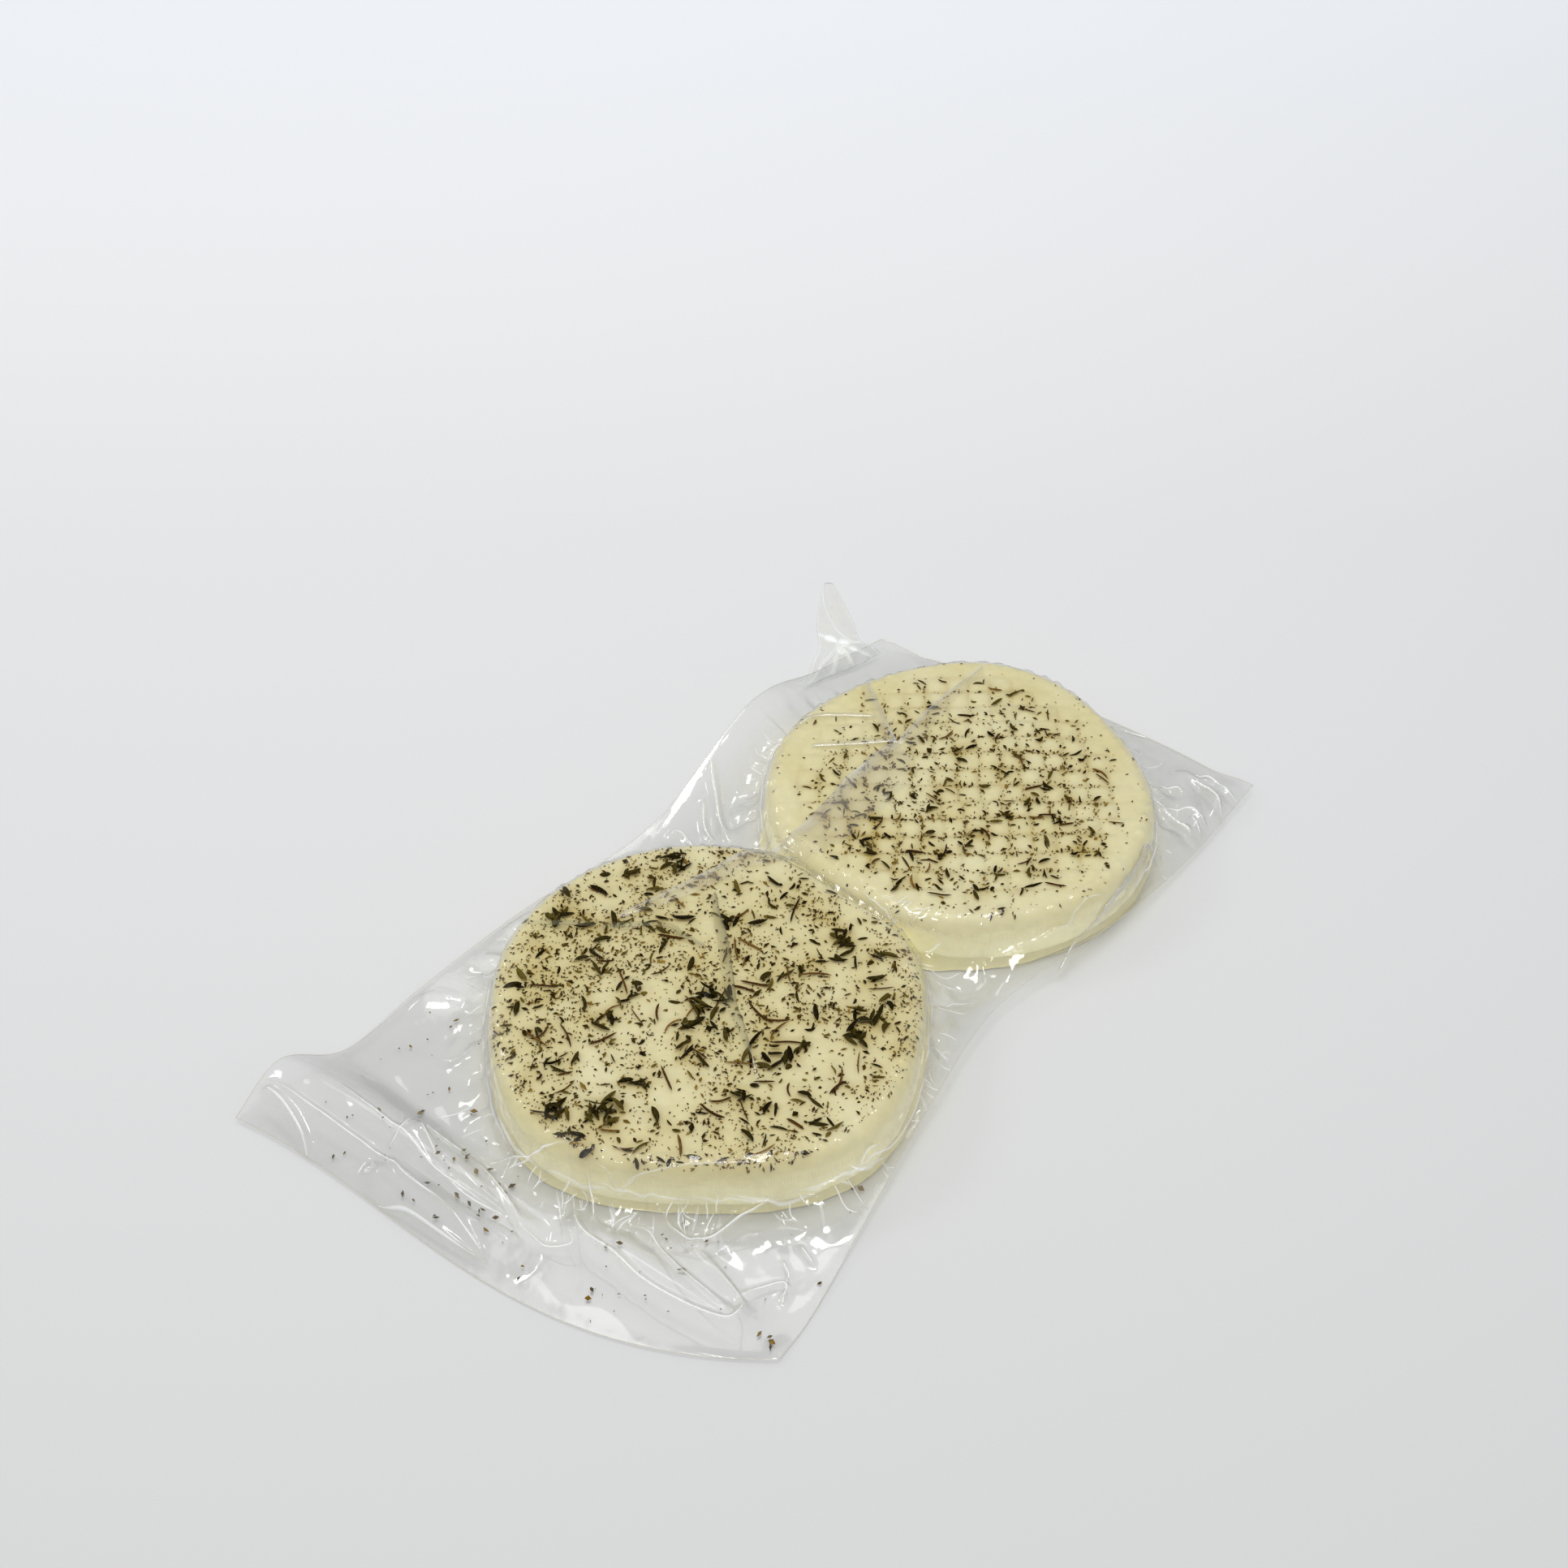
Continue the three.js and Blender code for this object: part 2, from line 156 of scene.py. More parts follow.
# Sharp fold lines pressed into the film: points, height, half width
FOLDS = [
    [[(-126, 67.3), (-125.8, 60.9), (-126.8, 54.6), (-128.9, 48.8), (-132.9, 45.1)], 1.8, 2.2],
    [[(-124.1, 68.3), (-123.2, 55.7), (-121.5, 37.3), (-121.5, 26.1), (-122.3, 13.7), (-121.8, 10.5)],
     0.9, 1.4],
    [[(-115.7, 56.9), (-114.5, 38.5), (-115.4, 27.8), (-116.4, 19.8), (-115.9, 8.8), (-115.5, -2.7)],
     0.9, 1.4],
    [[(-119.4, 32.5), (-109.3, 32.6)], 0.7, 1.1],
    [[(-110.2, 31.5), (-115.2, 20.3)], 1.2, 1.4],
    [[(-110.2, 31.5), (-109.2, 18.7), (-107.7, 17.2)], 1.0, 1.3],
    [[(-108.2, 16.8), (-110.7, 6.4), (-113.7, -1.7), (-115.1, -3.5)], 1.3, 1.6],
    [[(-107.1, 14.9), (-103.2, 8.1), (-98.9, 0.2), (-97.1, -2.5)], 0.9, 1.3],
    [[(-116.3, 18.5), (-116.8, 10.8), (-115.5, -0.6)], 1.3, 1.4],
    [[(-120.4, 30.7), (-122.4, 22.7), (-122.2, 13.6), (-122.3, 9.7)], 1.4, 1.6],
    [[(-129.1, 29.1), (-128.9, 25.8), (-127, 18.6), (-126.2, 9.5), (-125.3, 0.7), (-124.3, -2.4)], 1.5, 1.8],
    [[(-121.9, 10.3), (-123.4, 1.2), (-124.3, -2.4)], 1.0, 1.4],
    [[(-115.2, -3), (-113.8, -10.5), (-111.1, -14.8), (-109.7, -13.7), (-108.6, -11.2)], 0.9, 1.3],
    [[(-97.8, -2.5), (-105.4, -10.7), (-108.2, -15.4), (-108.1, -23.9), (-108.7, -32.9), (-107.8, -42.4),
      (-106.1, -50.3), (-104.5, -53.4), (-101.3, -53.2), (-98.3, -50.2), (-94.6, -36.9)], 1.6, 1.7],
    [[(-97.9, -7.4), (-100.9, -11.6), (-104.5, -15.4)], 1.0, 1.3],
    [[(-100.3, -19.2), (-98.2, -24.7), (-100.1, -31.9), (-101.5, -38.8), (-102.4, -49.1), (-102.7, -51.3)],
     0.8, 1.2],
    [[(-93.1, -24.9), (-94.8, -28), (-94.6, -32.1), (-92.4, -35.7), (-87.6, -37.9), (-80.6, -40.4),
      (-74.6, -42.8)], 1.9, 2.0],
    [[(-97, -49.1), (-88.9, -54.5), (-92.9, -57)], 1.3, 1.6],
    [[(-84.9, -50.6), (-86.9, -54.1), (-88.4, -54.1)], 0.9, 1.2],
    [[(-79.8, -51.2), (-81.6, -56.6)], 0.9, 1.2],
    [[(-66.7, -49.5), (-68.1, -54.7), (-65.9, -57)], 1.1, 1.4],
    [[(-5.5, 51.9), (-2.2, 49.9), (-4.1, 42.4)], 1.0, 1.4],
    [[(22.7, 59.5), (17.4, 56.4), (12.6, 50.9), (6.8, 44.3), (3.1, 38.4)], 2.2, 2.4],
    [[(9.5, 52.1), (3.8, 47.2), (0.8, 41.3)], 1.4, 1.8],
    [[(30, 48.4), (41.6, 46)], 1.2, 1.4],
    [[(99.1, -40.4), (94.8, -49), (89.3, -57)], 1.5, 1.6],
    [[(99.7, -40.1), (99.7, -47.7), (97.5, -56.9)], 1.2, 1.4],
    [[(81, -42.3), (78.6, -49.5), (76.7, -55.2)], 1.6, 1.8],
    [[(80.1, -42.9), (82.8, -45.7), (84.9, -49.8), (83.3, -55.5)], 1.2, 1.5],
    [[(79.8, -55.4), (82.8, -50)], 1.0, 1.3],
    [[(88.3, -37.1), (91.6, -40.6), (90.5, -43.7)], 1.0, 1.3],
    [[(105.2, -14.7), (107.5, -24.9), (107.5, -36)], 0.5, 1.4],
]
# Creases pinched in the film over the cheese: points, height, half width
TIGHT_CREASES = [
    [[(-97.4, -4.8), (-96.3, -15.2), (-85.5, -26), (-74.9, -38.4)], 0.5, 0.9],
    [[(23.3, -46.8), (25.1, -48.6), (29.1, -48.5), (33.9, -48.9), (39.7, -51.3)], 0.7, 1.0],
    [[(-54.8, -17.5), (-60.8, -24.6)], 0.5, 1.0],
]

# Folds past this place along the pouch get their painted highlight on a wider ribbon
WIDE_FOLDS_FROM = 70

# The film's far left corner stands up: height, width, twist in degrees, lean across
FIN_FOOT = (77.0, 58.5, 1.2)
FIN_TURN = -17.0
FIN_STATIONS = [
    [0, 19, 0, 0], [5, 15, -6, 0.5], [9, 10.5, -16, 1.5],
    [15, 9, -28, 3], [22, 6, -34, 4.5], [28, 2.5, -36, 5.5],
]
FIN_SKIN = 0.5
FIN_CRUMPLE = 1.2

# Its folds, pressed into the skin and given a painted highlight: share across and share along at each point,
# on a corner of about this width and height
FIN_LINES = [
    [(0.02, 0.97), (0.5, 0.55), (0.93, 0.34)], [(0.03, 0.53), (0.45, 0.43), (0.97, 0.36)],
    [(0.48, 0.42), (0.2, 0.2), (0.08, 0.02)], [(0.5, 0.4), (0.4, 0.2), (0.36, 0.03)],
    [(0.55, 0.4), (0.62, 0.05)], [(0.6, 0.38), (0.78, 0.2), (0.88, 0.04)],
]
FIN_SIZE = (11, 28)
FIN_RIDGE = 0.45
# Its painted glints: share across, share along, width, height
FIN_PAINTED_GLINTS = [
    (0.3, 0.47, 0.16, 0.03), (0.62, 0.4, 0.14, 0.035), (0.5, 0.3, 0.07, 0.06), (0.72, 0.27, 0.06, 0.05),
]

# Painted highlights of short creases that spread from a slab's foot, drawn only as ribbons: how many, and
# between which directions
FOOT_PAINTED_GLINTS = {
    "near": [(66, 172, 300), (16, 300, 345), (12, 110, 172)],
    "far": [(20, -95, 5), (14, 5, 60), (12, 95, 150)],
}
# Degrees from one painted highlight along a slab's foot to the next
FOOT_CREASE_STEP = 16
# How far a crease's ribbon stands off the film from side to side, and how bright its painted highlight is
# there
RIBBON_RISE = [0.03, 0.1, 0.14, 0.1, 0.03]
RIBBON_PAINTED_GLINT = [0.0, 0.6, 1, 0.6, 0.0]
RIBBON_STEP = 0.3

# Folded film: edge points, how far the doubled film reaches from that edge, side it reaches to, cloudiness
PLEATS = [
    [[(49.1, 19.4), (44.1, 21), (35.8, 21.3), (29, 21.3), (21, 20.3), (13.7, 19.8), (7.3, 19.8), (2.5, 21.2),
      (-4.1, 23.5), (-10.5, 26), (-15.8, 26.7), (-22.6, 28.6), (-29.4, 30.5), (-36.1, 32.3), (-42.7, 34.1)],
     [8, 11, 12.5, 13, 13, 12, 10, 8, 6.5, 5.5, 4.5, 4, 3.4, 2.6, 1.4], 1, 0.6],
    [[(64.4, 40.3), (56.1, 29.2), (49.1, 19.4)], [2.6, 2.6, 2.2], -1, 0.4],
    [[(89.4, 20.4), (67.8, 21.1), (49.1, 19.4)], [1.5, 4.0, 5.5], 1, 0.35],
    [[(34.1, 35.9), (41, 27.9), (49.1, 19.4)], [1.6, 2.0, 2.0], 1, 0.45],
    [[(39, 43.9), (44, 42.4), (49, 36.7), (53.9, 29.7)], [1.5, 1.7, 1.7, 1.2], 1, 0.3],
    [[(-58.2, 49.9), (-52.3, 40.9), (-45.6, 31.5), (-38.2, 22.7), (-38.3, 17.5), (-37.2, 10.9)],
     [1.2, 1.7, 1.8, 1.7, 1.4, 0.9], 1, 0.9],
    [[(-21.8, 21), (-27.2, 14.9), (-32.1, 8.5), (-39.1, 1.1), (-46, -5.9), (-49.1, -10.5), (-54.8, -17.5)],
     [1.0, 1.9, 2.6, 2.8, 2.6, 2.0, 1.0], -1, 1.0],
    [[(17.9, -51.9), (27.3, -50.9), (37.2, -52), (50.5, -51.9), (59.8, -49.9), (64.6, -52.5)],
     [2.2, 2.4, 2.6, 2.4, 2.0, 2.0], -1, 0.35],
]

# The folds that hold whey and herb
STEEPED = [PLEATS[5][0], PLEATS[6][0]]

# A pleat's rounded lip: distance in from its edge, height
PLEAT_LIP = [[0.35, 0.06], [0.08, 0.12], [-0.06, 0.3], [0.08, 0.48], [0.4, 0.52]]
PLEAT_COLUMNS = 9
PLEAT_GAP = 0.15
# Painted highlight along a pleat's lip, from side to side of its ribbon
LIP_PAINTED_GLINT = [0.0, 0.2, 0.42, 0.2, 0.0]

# Films: material, how cloudy its haze is, tint, and where they differ from the settings, milk and glow; on
# the corner and the creases haze, milk and glow make a painted highlight, white and glowing of itself
FILMS = {
    "clear": ("clear_film", 0.35, (0.988, 0.99, 0.986)),
    "doubled": ("doubled_film", 0.27, (0.985, 0.985, 0.98)),
    "corner": ("fin_film", 0.8, (0.985, 0.985, 0.98), (0.88, 0.91, 0.92), 0.3),
    "glint_film": ("crease_glint_film", 0.9, (0.985, 0.985, 0.98), (0.9, 0.92, 0.93), 0.22),
}

# Dried thyme: length, width and thickness of the main flakes, which lie where the solids have theirs
LEAF = (5.0, 1.9, 1.1)
STEM = (7.5, 0.9, 0.9)
CRUMB = (2.4, 1.5, 0.9)
PRESSED_IN = 0.35
CLUMP_FLAKES = 3
CANDIDATES = 10
# How much slimmer they are drawn here than in the solids
SLIM = (0.95, 0.58, 0.7)
SLIM_CRUMB = (0.6, 0.5, 0.7)
# Length, width and thickness, from and to, of the flakes strewn between them; single leaves' length isn't set
GATHERED_LEAF = [(1.8, 5.4), (0.55, 1.25), (0.3, 0.65)]
SINGLE_LEAF = [(0.35, 0.85), (0.2, 0.5)]
LONG_STEM = [(3.5, 8.5), (0.3, 0.65), (0.3, 0.6)]
DUST = [(0.25, 0.8), (0.2, 0.45), (0.2, 0.35)]
DUST_COUNT = 90
DUST_FROM, DUST_TO = (-122, -56), (-62, 60)
LOOSE_HEIGHT = 0.75
THYME_SEED = 41
CREASE_SEED = 57
# Stations along a flake, sides round it, and how blunt its tips are
FLAKE_FORMS = {"leaves": (7, 6, 2.4), "stems": (8, 4, 6.0), "specks": (3, 4, 2.0)}
# Material, and its colours from dark to light
THYME_COLOURS = {
    "leaves": ("thyme_leaf", (0.010, 0.006, 0.001), (0.045, 0.032, 0.004), (0.18, 0.13, 0.02)),
    "stems": ("thyme_stem", (0.020, 0.009, 0.002), (0.10, 0.04, 0.009), (0.30, 0.16, 0.035)),
    "specks": ("thyme_speck", (0.014, 0.008, 0.001), (0.09, 0.05, 0.006), (0.36, 0.22, 0.03)),
}
# Each slab's strewing: size and number of its leaves and specks next to the settings, width of its bare rim,
# stems, depth of the weave, and how strongly its grooves are stained
STREWING = {
    "near": {
        "size": 1.0, "leaves": 1.0, "specks": 1.0, "bare_rim": 3, "stems": 46, "weave": 0.3, "stain": 0.12,
    },
    "far": {
        "size": 0.72, "leaves": 0.8, "specks": 1.05, "bare_rim": 9, "stems": 30, "weave": 1.0, "stain": 0.52,
    },
}
# Rasters of where the flakes are: cell, first corner, cells along and across, softness of height and crowding
COVER_CELL = 0.5
COVER_FROM = np.array([-134.0, -68.0])
COVER_SHAPE = (488, 276)
COVER_SOFTNESS = 0.7
CROWD_SOFTNESS = 1.4
MAIN_THYME = {
    "near": {
        "seed": 5,
        "clumps": [
            [-2, -2, 4], [-39, -4, 4], [33, -14, 3], [18, -35, 3], [-45, 3, 3], [27, 34, 3], [-4, 44, 2],
            [-6, -20, 4],
        ],
        "counts": [10, 34, 30],
        "middle": (0, 0),
        "reach": (46, 46),
    },
    "far": {
        "seed": 11,
        "clumps": [[-33, 6, 2], [6, -19, 2.5]],
        "counts": [10, 34, 34],
        "middle": (-3, -5),
        "reach": (39, 36),
    },
}
# Where leaves gather on each slab: x and y from its centre, spread, how many
GATHERED = {
    "near": [
        [-2, -2, 5, 20], [-8, -5, 4, 8], [-39, -5, 4, 15], [33, -14, 4, 9], [17, -33, 4, 8], [-46, 3, 4, 9],
        [28, 34, 4, 6], [-4, 43, 3, 5], [-6, 27, 4, 4], [-12, 15, 4, 5], [-20, 13, 3, 4], [-32, 23, 3, 3],
        [-38, 14, 3, 4], [-48, -8, 3, 4], [-5, -24, 4, 7], [-15, -6, 3, 4], [29, -18, 3, 4], [12, -36, 3, 4],
        [2, -26, 3, 4], [21, 10, 3, 5], [32, 5, 3, 3], [17, 41, 3, 4], [4, 48, 2, 3], [8, 24, 3, 4],
        [34, -24, 3, 4], [-24, 36, 3, 3], [-17, -25, 4, 5], [-38, -28, 3, 4], [-14, -44, 3, 3],
        [17, -11, 3, 4], [23, -34, 3, 3], [-28, -5, 3, 3], [-44, -18, 3, 3],
    ],
    "far": [
        [-41, 9, 1, 2], [-31, 11, 2, 4], [-16, 14, 2, 4], [-13, 8, 2, 3], [-6, 2, 1, 2], [-13, -14, 2, 4],
        [-18, -14, 2, 4], [-25, -12, 2, 3], [10, -7, 2, 3], [17, -6, 2, 2], [37, 9, 2, 3], [34, 4, 1, 2],
        [27, -20, 1, 2], [12, -18, 2, 3], [4, -27, 2, 4], [12, -26, 2, 3], [-3, -16, 2, 3], [-38, -11, 2, 3],
        [-28, -27, 2, 3], [-31, -33, 2, 3], [-14, -35, 2, 3], [-2, -36, 2, 3], [0, -41, 2, 3], [29, -5, 1, 2],
        [-14, 0, 2, 4], [10, 8, 2, 3], [-21, -26, 2, 3], [-35, 2, 2, 4],
    ],
}
# Crumbs that lie loose between the films, past the slabs
LOOSE = [
    (-97, 37), (-102, 20), (-110, 22), (-107, 14), (-107, 7), (-108, 20), (-111, 26), (-116, 15), (-116, 11),
    (-116, 8), (-115, 4), (-118, 22), (-123, 14), (-123, 21), (-111, 45), (-124, 42), (-94, 53), (-84, 50),
    (-127, -2), (-120, -9), (-117, -25), (-100, -35), (-103, -21), (-96, -28), (-101, -61), (-102, -61.5),
    (-84, -60), (-91, -35), (-61, -51), (-117, 49), (-106, 37), (-98, 28),
]

# The basket's weave: cell across and along, in millimetres, its direction, how far its rows wander and shift,
# how square its cells are, and where, in from the rim, it starts and is deep
WEAVE_CELL = (5.7, 6.1)
WEAVE_TURN = math.radians(-51.0)
WEAVE_WANDER = 1.8
WEAVE_SHIFT = 0.5
WEAVE_POWER = 0.45
WEAVE_FADE = (4, 12)

# Layers of noise and crumple: size in millimetres, or 1 where the place is scaled already, and seed
LAYERS = {
    "weave across": (23, 31), "weave along": (19, 37), "thick strewing": (13, 21), "fine strewing": (5, 22),
    "stain": (6, 51), "stained grooves": (11, 52), "tent pleats": (1, 61), "tight shoulder": (1, 64),
    "crumple": (7.5, 71), "slack": (15, 77), "swell": (26, 81), "skin": (9, 84), "rim wrinkles": (4.6, 86),
    "under film": (11, 91), "cloudy patches": (12, 95), "cloudy foot": (3.1, 97), "corner": (8.5, 101),
    "pleat width": (1, 111), "whey": (1, 121), "cloudy pleat": (6, 131), "painted lip glints": (5, 141),
    "foot crease": (1, 151),
}

# The photograph's camera
CAMERA_AT = (-264.65, -196.74, 353.29)
CAMERA_TARGET = (30.81, 42.51, 0.0)
CAMERA_LENS = 44.72
SENSOR = 36.0
# Half the floor's side, and its height
FLOOR_HALF = 6000.0
FLOOR_AT = -0.05
# Name, place from the pouch's middle in metres, side in metres, share of the softbox power
SOFTBOXES = [
    ("softbox_overhead", (0.06, 0.06, 0.95), 0.23, 0.8),
    ("softbox_left", (-0.25, 0.75, 0.55), 0.18, 0.28),
    ("softbox_back", (0.30, 0.34, 0.84), 0.22, 0.14),
    ("softbox_front", (-0.40, -0.12, 0.80), 0.12, 0.25),
]


def pouch_offset():
    """From the pouch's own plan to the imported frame: its lowest X and highest Y are known in both."""
    low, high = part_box("film_pouch")
    return np.array([low.x / MM - LEFT_EDGE[0][0], high.y / MM - LEFT_EDGE[0][1], 0.0])


OFFSET = pouch_offset()


def to_frame(points):
    """Millimetres of the pouch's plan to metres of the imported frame: (p + offset) / 1000."""
    return (np.asarray(points, float) + OFFSET) * MM


def smoothstep(value, low, high):
    """3t^2 - 2t^3 of the share t of value between low and high, held to 0..1."""
    share = np.clip((value - low) / (high - low), 0, 1)
    return share * share * (3 - 2 * share)


def bell(value):
    """exp(-value^2): 1 at 0, and nearly nothing past 2."""
    return np.exp(-(value**2))


def lattice(i, j, seed):
    """A repeatable number from 0 to 1 for each whole pair i, j: the fraction of a large sine."""
    value = np.sin(i * 127.1 + j * 311.7 + seed * 74.7) * 43758.5453
    return value - np.floor(value)


def noise(x, y, size, seed):
    """Smooth noise from 0 to 1: lattice numbers at whole multiples of size, with smoothstep between them."""
    u, v = np.asarray(x, float) / size, np.asarray(y, float) / size
    i, j = np.floor(u), np.floor(v)
    s, t = smoothstep(u - i, 0, 1), smoothstep(v - j, 0, 1)
    low = lattice(i, j, seed) * (1 - s) + lattice(i + 1, j, seed) * s
    high = lattice(i, j + 1, seed) * (1 - s) + lattice(i + 1, j + 1, seed) * s
    return low * (1 - t) + high * t


def facets(x, y, size, seed):
    """Crumpled film from 0 to 1: the mean of four triangle waves in turned directions, bent by noise."""
    waves = 4
    total = np.zeros_like(np.asarray(x, float))
    bend = noise(x, y, size * 1.7, seed + 3) * 1.1
    for k in range(waves):
        angle = math.pi * (k + 0.6 * lattice(k, seed, 9)) / waves
        along = x * math.cos(angle) + y * math.sin(angle)
        phase = along / (size * (0.8 + 0.5 * lattice(k, seed, 5))) + bend + lattice(k, seed, 2)
        total += 2 * np.abs(phase - np.floor(phase) - 0.5)
    return total / waves


def spline(points, share):
    """Uniform Catmull-Rom curve with tension 0.5 through the points, ends carried on straight."""
    points = np.asarray(points, float)
    share = np.asarray(share, float)
    place = np.clip(share, 0, 1) * (len(points) - 1)
    index = np.minimum(np.floor(place).astype(int), len(points) - 2)
    t = (place - index)[..., None]
    padded = np.vstack([2 * points[0] - points[1], points, 2 * points[-1] - points[-2]])
    before, start, end, after = (padded[index + k] for k in range(4))
    leave, reach = 0.5 * (end - before), 0.5 * (after - start)
    cubic = 2 * start - 2 * end + leave + reach
    square = -3 * start + 3 * end - 2 * leave - reach
    return cubic * t**3 + square * t**2 + leave * t + start


def path_distance(x, y, points):
    """Distance from each x, y to a run of straight pieces through the points, and the share along it."""
    best = np.full(np.shape(x), 1e9)
    where = np.zeros(np.shape(x))
    points = np.asarray(points, float)[:, :2]
    lengths = np.hypot(*np.diff(points, axis=0).T)
    total, done = lengths.sum(), 0.0
    for start, end, length in zip(points[:-1], points[1:], lengths):
        run = (end - start) / length
        along = np.clip((x - start[0]) * run[0] + (y - start[1]) * run[1], 0, length)
        off = np.hypot(x - start[0] - run[0] * along, y - start[1] - run[1] * along)
        closer = off < best
        best = np.where(closer, off, best)
        where = np.where(closer, (done + along) / total, where)
        done += length
    return best, where


def slab_centre(slab):
    """A slab's centre in the plan: half the spacing to its own side, turned with the pair."""
    reach = slab["side"] * SLAB_SPACING / 2
    return reach * math.cos(PAIR_TURN), reach * math.sin(PAIR_TURN)


def rim_radius(slab, angle):
    """Rim radius at an angle: a circle plus cosine lobes, cut straight where the slabs meet.

    The cut is a soft minimum of both radii: -s ln(exp(-a / s) + exp(-b / s)).
    """
    radius = np.full(np.shape(angle), float(slab["radius"]))
    for count, height, crest in slab["lobes"]:
        radius = radius + height * np.cos(count * (angle - math.radians(crest)))
    towards_other = -slab["side"] * np.cos(angle - PAIR_TURN)
    cut = (SLAB_SPACING / 2 - GAP / 2) / np.maximum(towards_other, 0.5)
    low = np.minimum(radius, cut)
    terms = np.exp((low - radius) / CUT_SOFTNESS) + np.exp((low - cut) / CUT_SOFTNESS)
    return low - CUT_SOFTNESS * np.log(terms)


def from_rim(slab, x, y):
    """Distance outwards from the slab's rim: less than 0 over the slab."""
    centre_x, centre_y = slab_centre(slab)
    angle = np.arctan2(y - centre_y, x - centre_x)
    return np.hypot(x - centre_x, y - centre_y) - rim_radius(slab, angle)


def from_slabs(x, y):
    """Distance outwards from the rim of the nearer slab."""
    return np.minimum(from_rim(SLABS["near"], x, y), from_rim(SLABS["far"], x, y))


def weave(x, y):
    """The basket's pattern from 0 in its grooves to 1 on its cells.

    Cells lie in rows that wander and shift by chance, and each is the product of two powers of a half sine.
    """
    cos, sin = math.cos(WEAVE_TURN), math.sin(WEAVE_TURN)
    u = x * cos + y * sin + WEAVE_WANDER * noise(x, y, *LAYERS["weave across"])
    v = -x * sin + y * cos + WEAVE_WANDER * noise(x, y, *LAYERS["weave along"])
    shift = (lattice(np.floor(v / WEAVE_CELL[1]), 0, 4) - 0.5) * WEAVE_SHIFT
    across = np.abs(np.sin(math.pi * (u / WEAVE_CELL[0] + shift))) ** WEAVE_POWER
    along = np.abs(np.sin(math.pi * v / WEAVE_CELL[1])) ** WEAVE_POWER
    return across * along


def top_relief(name, x, y):
    """Millimetres that a slab's upper face rises above its smooth crown: dents, curd and the weave."""
    dents = sum(height * (noise(x, y, size, seed) - 0.5) for size, height, seed in RELIEF)
    depth = STREWING[name]["weave"] * bpy.context.scene.saganaki_cheese.weave_depth
    centre_x, centre_y = slab_centre(SLABS[name])
    fade = smoothstep(-from_rim(SLABS[name], x, y), *WEAVE_FADE)
    return dents + depth * fade * (weave(x - centre_x, y - centre_y) - 1)


def slab_height(name, x, y):
    """Height of a slab's upper face: a crown, an arc of TOP_ROUNDING down to the rim, and the relief."""
    slab = SLABS[name]
    centre_x, centre_y = slab_centre(slab)
    inside = np.maximum(-from_rim(slab, x, y), 0)
    share = np.minimum(np.hypot(x - centre_x, y - centre_y) / (slab["radius"] - TOP_ROUNDING), 1)
    crown = SLAB_TOP + TOP_CROWN * (1 - share**2)
    short = np.maximum(TOP_ROUNDING - inside, 0)
    drop = TOP_ROUNDING - np.sqrt(np.maximum(TOP_ROUNDING**2 - short**2, 0))
    return crown - drop + top_relief(name, x, y)


def slab_rings(radius):
    """A slab's half section, from its upper pole to its lower one, as [inset from the rim, height]."""
    arc = np.linspace(0, math.pi / 2, ROUNDING_RINGS)
    flat = np.linspace(radius - TOP_POLE_RING, TOP_ROUNDING, TOP_RINGS)
    wall = np.linspace(SLAB_TOP - TOP_ROUNDING, SLAB_FLOOR + FOOT_ROUNDING, WALL_RINGS)[1:-1]
    under = np.linspace(FOOT_ROUNDING, radius - UNDER_POLE_RING, UNDER_RINGS)[1:]
    sin, cos = np.sin(arc), np.cos(arc)
    return np.vstack([
        np.column_stack([flat, np.full(flat.shape, SLAB_TOP)]),
        np.column_stack([TOP_ROUNDING * (1 - sin), SLAB_TOP - TOP_ROUNDING * (1 - cos)])[1:],
        np.column_stack([np.zeros(wall.shape), wall]),
        np.column_stack([FOOT_ROUNDING * (1 - cos), SLAB_FLOOR + FOOT_ROUNDING * (1 - sin)]),
        np.column_stack([under, np.full(under.shape, SLAB_FLOOR)]),
    ])


def slab_grid(name):
    """A slab as a grid of rings: over the top, down the wall, under and in.

    A point at share s of the rim radius moves out by s^2 of what the rim differs from a circle. The wall
    bulges by a half sine of its height and takes shallow upright dents from the tight film.
    """
    slab = SLABS[name]
    radius = slab["radius"]
    rings = slab_rings(radius)
    inset, height = rings[:, :1], rings[:, 1:]
    angle = np.linspace(0, 2 * math.pi, SLAB_COLUMNS, endpoint=False)[None, :]
    distance = radius - inset
    moved = distance + (rim_radius(slab, angle) - radius) * (distance / radius) ** 2
    on_wall = smoothstep(height, 1.2, 4) * (1 - smoothstep(height, 10, 14)) * (inset < TOP_ROUNDING)
    dents = 0
    for around, up, depth, seed in WALL_DENTS:
        dents = dents + depth * (noise(angle * around, height * up, 1, seed) - 0.5)
    bulge = WALL_BULGE * np.sin(math.pi * np.clip((height - SLAB_FLOOR) / 9, 0, 1))
    moved = moved + on_wall * (dents + bulge - WALL_INSET)
    centre_x, centre_y = slab_centre(slab)
    x = centre_x + moved * np.cos(angle)
    y = centre_y + moved * np.sin(angle)
    share = np.minimum(distance / (radius - TOP_ROUNDING), 1)
    upper = smoothstep(height, SLAB_TOP - 3, SLAB_TOP)
    z = height + upper * (TOP_CROWN * (1 - share**2) + top_relief(name, x, y))
    return np.stack([x, y, np.broadcast_to(z, x.shape)], -1)


def closed_slab(name):
    """A slab's points and faces: its grid of rings, closed by a fan round one point at each pole."""
    grid = slab_grid(name)
    rows, columns = grid.shape[:2]
    poles = [[*slab_centre(SLABS[name]), grid[end, :, 2].mean()] for end in (0, -1)]
    j = np.arange(columns)
    after = (j + 1) % columns
    last = (rows - 1) * columns
    upper_fan = np.column_stack([np.full(columns, rows * columns), j, after])
    under_fan = np.column_stack([np.full(columns, rows * columns + 1), last + after, last + j])
    points = np.vstack([grid.reshape(-1, 3), poles])
    return points, [ring_faces(rows, columns), np.vstack([upper_fan, under_fan])]


